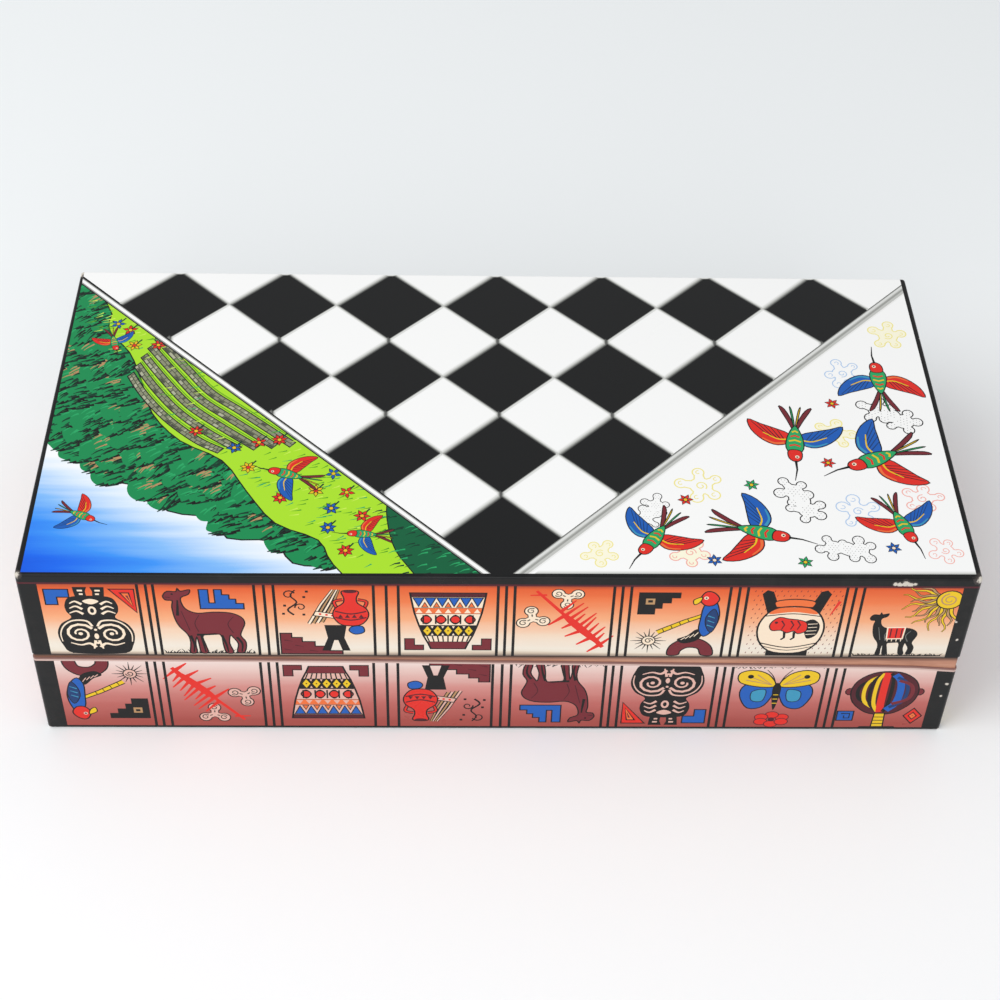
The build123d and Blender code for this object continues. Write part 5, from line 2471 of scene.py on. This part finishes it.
    def build(self, place: TrayPlace, brass: bpy.types.Material) -> None:
        """Builds one tray's screws.

        Args:
            place: The tray.
            brass: Their material.
        """
        tree, keys = self._tree()
        name = f"{place.tray.value}_hinge_screws_slotted"
        holder = bpy.data.objects.new(name, bpy.data.meshes.new(name))
        bpy.context.scene.collection.objects.link(holder)
        modifier = holder.modifiers.new("screws", "NODES")
        modifier.node_group = tree
        for key, value in (self._sizes() | {"Seed": self.seed, "Brass": brass}).items():
            modifier[keys[key]] = value
        graph = bpy.context.evaluated_depsgraph_get()
        mesh = bpy.data.meshes.new_from_object(holder.evaluated_get(graph), depsgraph=graph)
        holder.modifiers.clear()
        holder.data = mesh
        mesh.transform(place.matrix() @ Matrix.Translation((0, self.row_y * MM, self.rim * MM)))
        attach(holder, place.tray.value)
        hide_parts(f"{place.tray.value}_hinge_screws")
        log.info("%s: %d faces", holder.name, len(mesh.polygons))


@dataclass
class TrayWood:
    """The tray's wooden parts, felt and back paper, which keep their CAD shapes."""

    place: TrayPlace

    def dress(self, finishes: dict[str, bpy.types.Material]) -> None:
        """Gives each part its material.

        Args:
            finishes: Materials by finish name.
        """
        parts = {
            "panel": "plywood", "front_wall": "wood_long", "back_wall": "wood_long",
            "left_wall": "wood_side", "right_wall": "wood_side", "felt_lining": "felt",
            "back_paper": "back_paper",
        }
        for part, finish in parts.items():
            dress_node(f"{self.place.tray.value}_{part}", finishes[finish])


@dataclass
class ButtHinges:
    """Two brass butt hinges: their leaves and pins keep their CAD shapes."""

    sides: tuple[str, ...] = ("left", "right")

    def dress(self, leaf: bpy.types.Material, pin: bpy.types.Material) -> None:
        """Gives the leaves and the pins their brass.

        Args:
            leaf: The leaves' brass.
            pin: The pins' brass.
        """
        for side in self.sides:
            dress_node(f"{side}_hinge_base_leaf", leaf)
            dress_node(f"{side}_hinge_lid_leaf", leaf)
            dress_node(f"{side}_hinge_pin", pin)


def dress_node(name: str, material: bpy.types.Material) -> None:
    """Puts a material in a CAD node's slots.

    Args:
        name: The node.
        material: Its material.
    """
    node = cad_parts[name]
    if not node.material_slots:
        node.data.materials.append(material)
    for slot in node.material_slots:
        slot.material = material
    log.info("%s: %s", name, material.name)


@dataclass
class Studio:
    """Camera, floor and soft lights of a plain product photograph."""

    camera_place: tuple[float, float, float] = (-18.0, -512.7, 546.7)
    pitch: float = 44.85
    yaw: float = 2.19
    roll: float = 1.88
    lens: float = 69.46
    floor_colours: tuple[str, str] = ("#F9FAFB", "#F4F7F8")
    floor_reach: float = 6.0
    world_strength: float = 0.63

    def build(self) -> None:
        """Builds the camera, the floor and the lights."""
        self._camera()
        self._floor()
        self._lights()

    def _camera(self) -> None:
        """Sets the camera up as the photograph was taken."""
        pitch, yaw, roll = (math.radians(value) for value in (self.pitch, self.yaw, self.roll))
        forward = Vector((math.sin(yaw) * math.cos(pitch), math.cos(yaw) * math.cos(pitch),
                          -math.sin(pitch)))
        level = Vector((math.cos(yaw), -math.sin(yaw), 0.0))
        upright = level.cross(forward)
        right = level * math.cos(roll) + upright * math.sin(roll)
        up = upright * math.cos(roll) - level * math.sin(roll)
        matrix = Matrix((right, up, -forward)).transposed().to_4x4()
        matrix.translation = Vector(self.camera_place) * MM
        data = bpy.data.cameras.new("camera")
        data.lens, data.sensor_width, data.sensor_fit = self.lens, 36.0, "HORIZONTAL"
        data.clip_start, data.clip_end = 0.01, 50.0
        camera = bpy.data.objects.new("camera", data)
        camera.matrix_world = matrix
        bpy.context.scene.collection.objects.link(camera)
        bpy.context.scene.camera = camera

    def _floor(self) -> None:
        """Lays a pale matt floor under the case."""
        reach = self.floor_reach
        mesh = bpy.data.meshes.new("floor")
        corners = [(x, y, 0) for x, y in box_outline(-reach, -reach, reach, reach)]
        mesh.from_pydata(corners, [], [(0, 1, 2, 3)])
        material, tree, shader, place = new_material("matt_studio_floor")
        back = add_node(tree, "ShaderNodeSeparateXYZ", {"Vector": place}).outputs["Y"]
        cloud = add_node(tree, "ShaderNodeTexNoise", {"Vector": place, "Scale": 3.0, "Detail": 2.0})
        level = add_node(tree, "ShaderNodeMath", {0: cloud, 1: 0.2, 2: back}, operation="MULTIPLY_ADD")
        connect(tree, shader, {
            "Base Color": add_node(tree, "ShaderNodeValToRGB", {"Fac": level}, (
                (0.0, self.floor_colours[0]), (0.3, self.floor_colours[1]),
            )),
            "Roughness": 0.9, "Specular IOR Level": 0.1,
        })
        mesh.materials.append(material)
        floor = bpy.data.objects.new("floor", mesh)
        bpy.context.scene.collection.objects.link(floor)

    def _lights(self) -> None:
        """Hangs two softboxes in an evenly bright room."""
        world = bpy.data.worlds.new("bright_room")
        world.use_nodes = True
        ground = world.node_tree.nodes["Background"]
        ground.inputs["Color"].default_value = linear_colour("#FAFBFC")
        ground.inputs["Strength"].default_value = self.world_strength
        bpy.context.scene.world = world
        for name, place, size, power in (
            ("softbox_left", (-1.15, -0.6, 1.5), 1.3, 17.6),
            ("softbox_front", (0.0, -1.8, 1.0), 1.2, 9.5),
        ):
            data = bpy.data.lights.new(name, "AREA")
            data.size, data.energy = size, power
            lamp = bpy.data.objects.new(name, data)
            lamp.location = place
            lamp.rotation_euler = (Vector((0, 0, 0.04)) - Vector(place)).to_track_quat("-Z", "Y").to_euler()
            bpy.context.scene.collection.objects.link(lamp)
        bpy.context.scene.view_settings.view_transform = "Standard"


def main() -> None:
    """Builds the studio and every piece of the case, and reports them."""
    Studio().build()
    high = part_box("lid_outer_sheet")[1] / MM
    rim = high.x, high.y, high.z / 2
    finishes = {
        "plywood": PoplarPlywood().material(),
        "wood_long": SandedWood("long_walls", True, *rim).material(),
        "wood_side": SandedWood("side_walls", False, *rim).material(),
        "felt": WoolFelt().material(),
        "back_paper": BackPaper().material(),
    }
    leaf, pin = StampedBrass("leaves").material(), StampedBrass("pins", "#E2BE72", "#9A783C", 0.3).material()
    screw = StampedBrass("screws", "#CFA75A", "#7C5C2C", 0.25).material()
    flat: dict[Ink, bpy.types.Material] = {}
    faces: list[InkSheet] = []
    for tray in Tray:
        place = TrayPlace(tray, *high)
        TrayPrint(place, VARIANTS[tray], flat, faces).build()
        TrayWood(place).dress(finishes)
        HingeScrews().build(place, screw)
    ButtHinges().dress(leaf, pin)


if __name__ == "__main__":
    main()
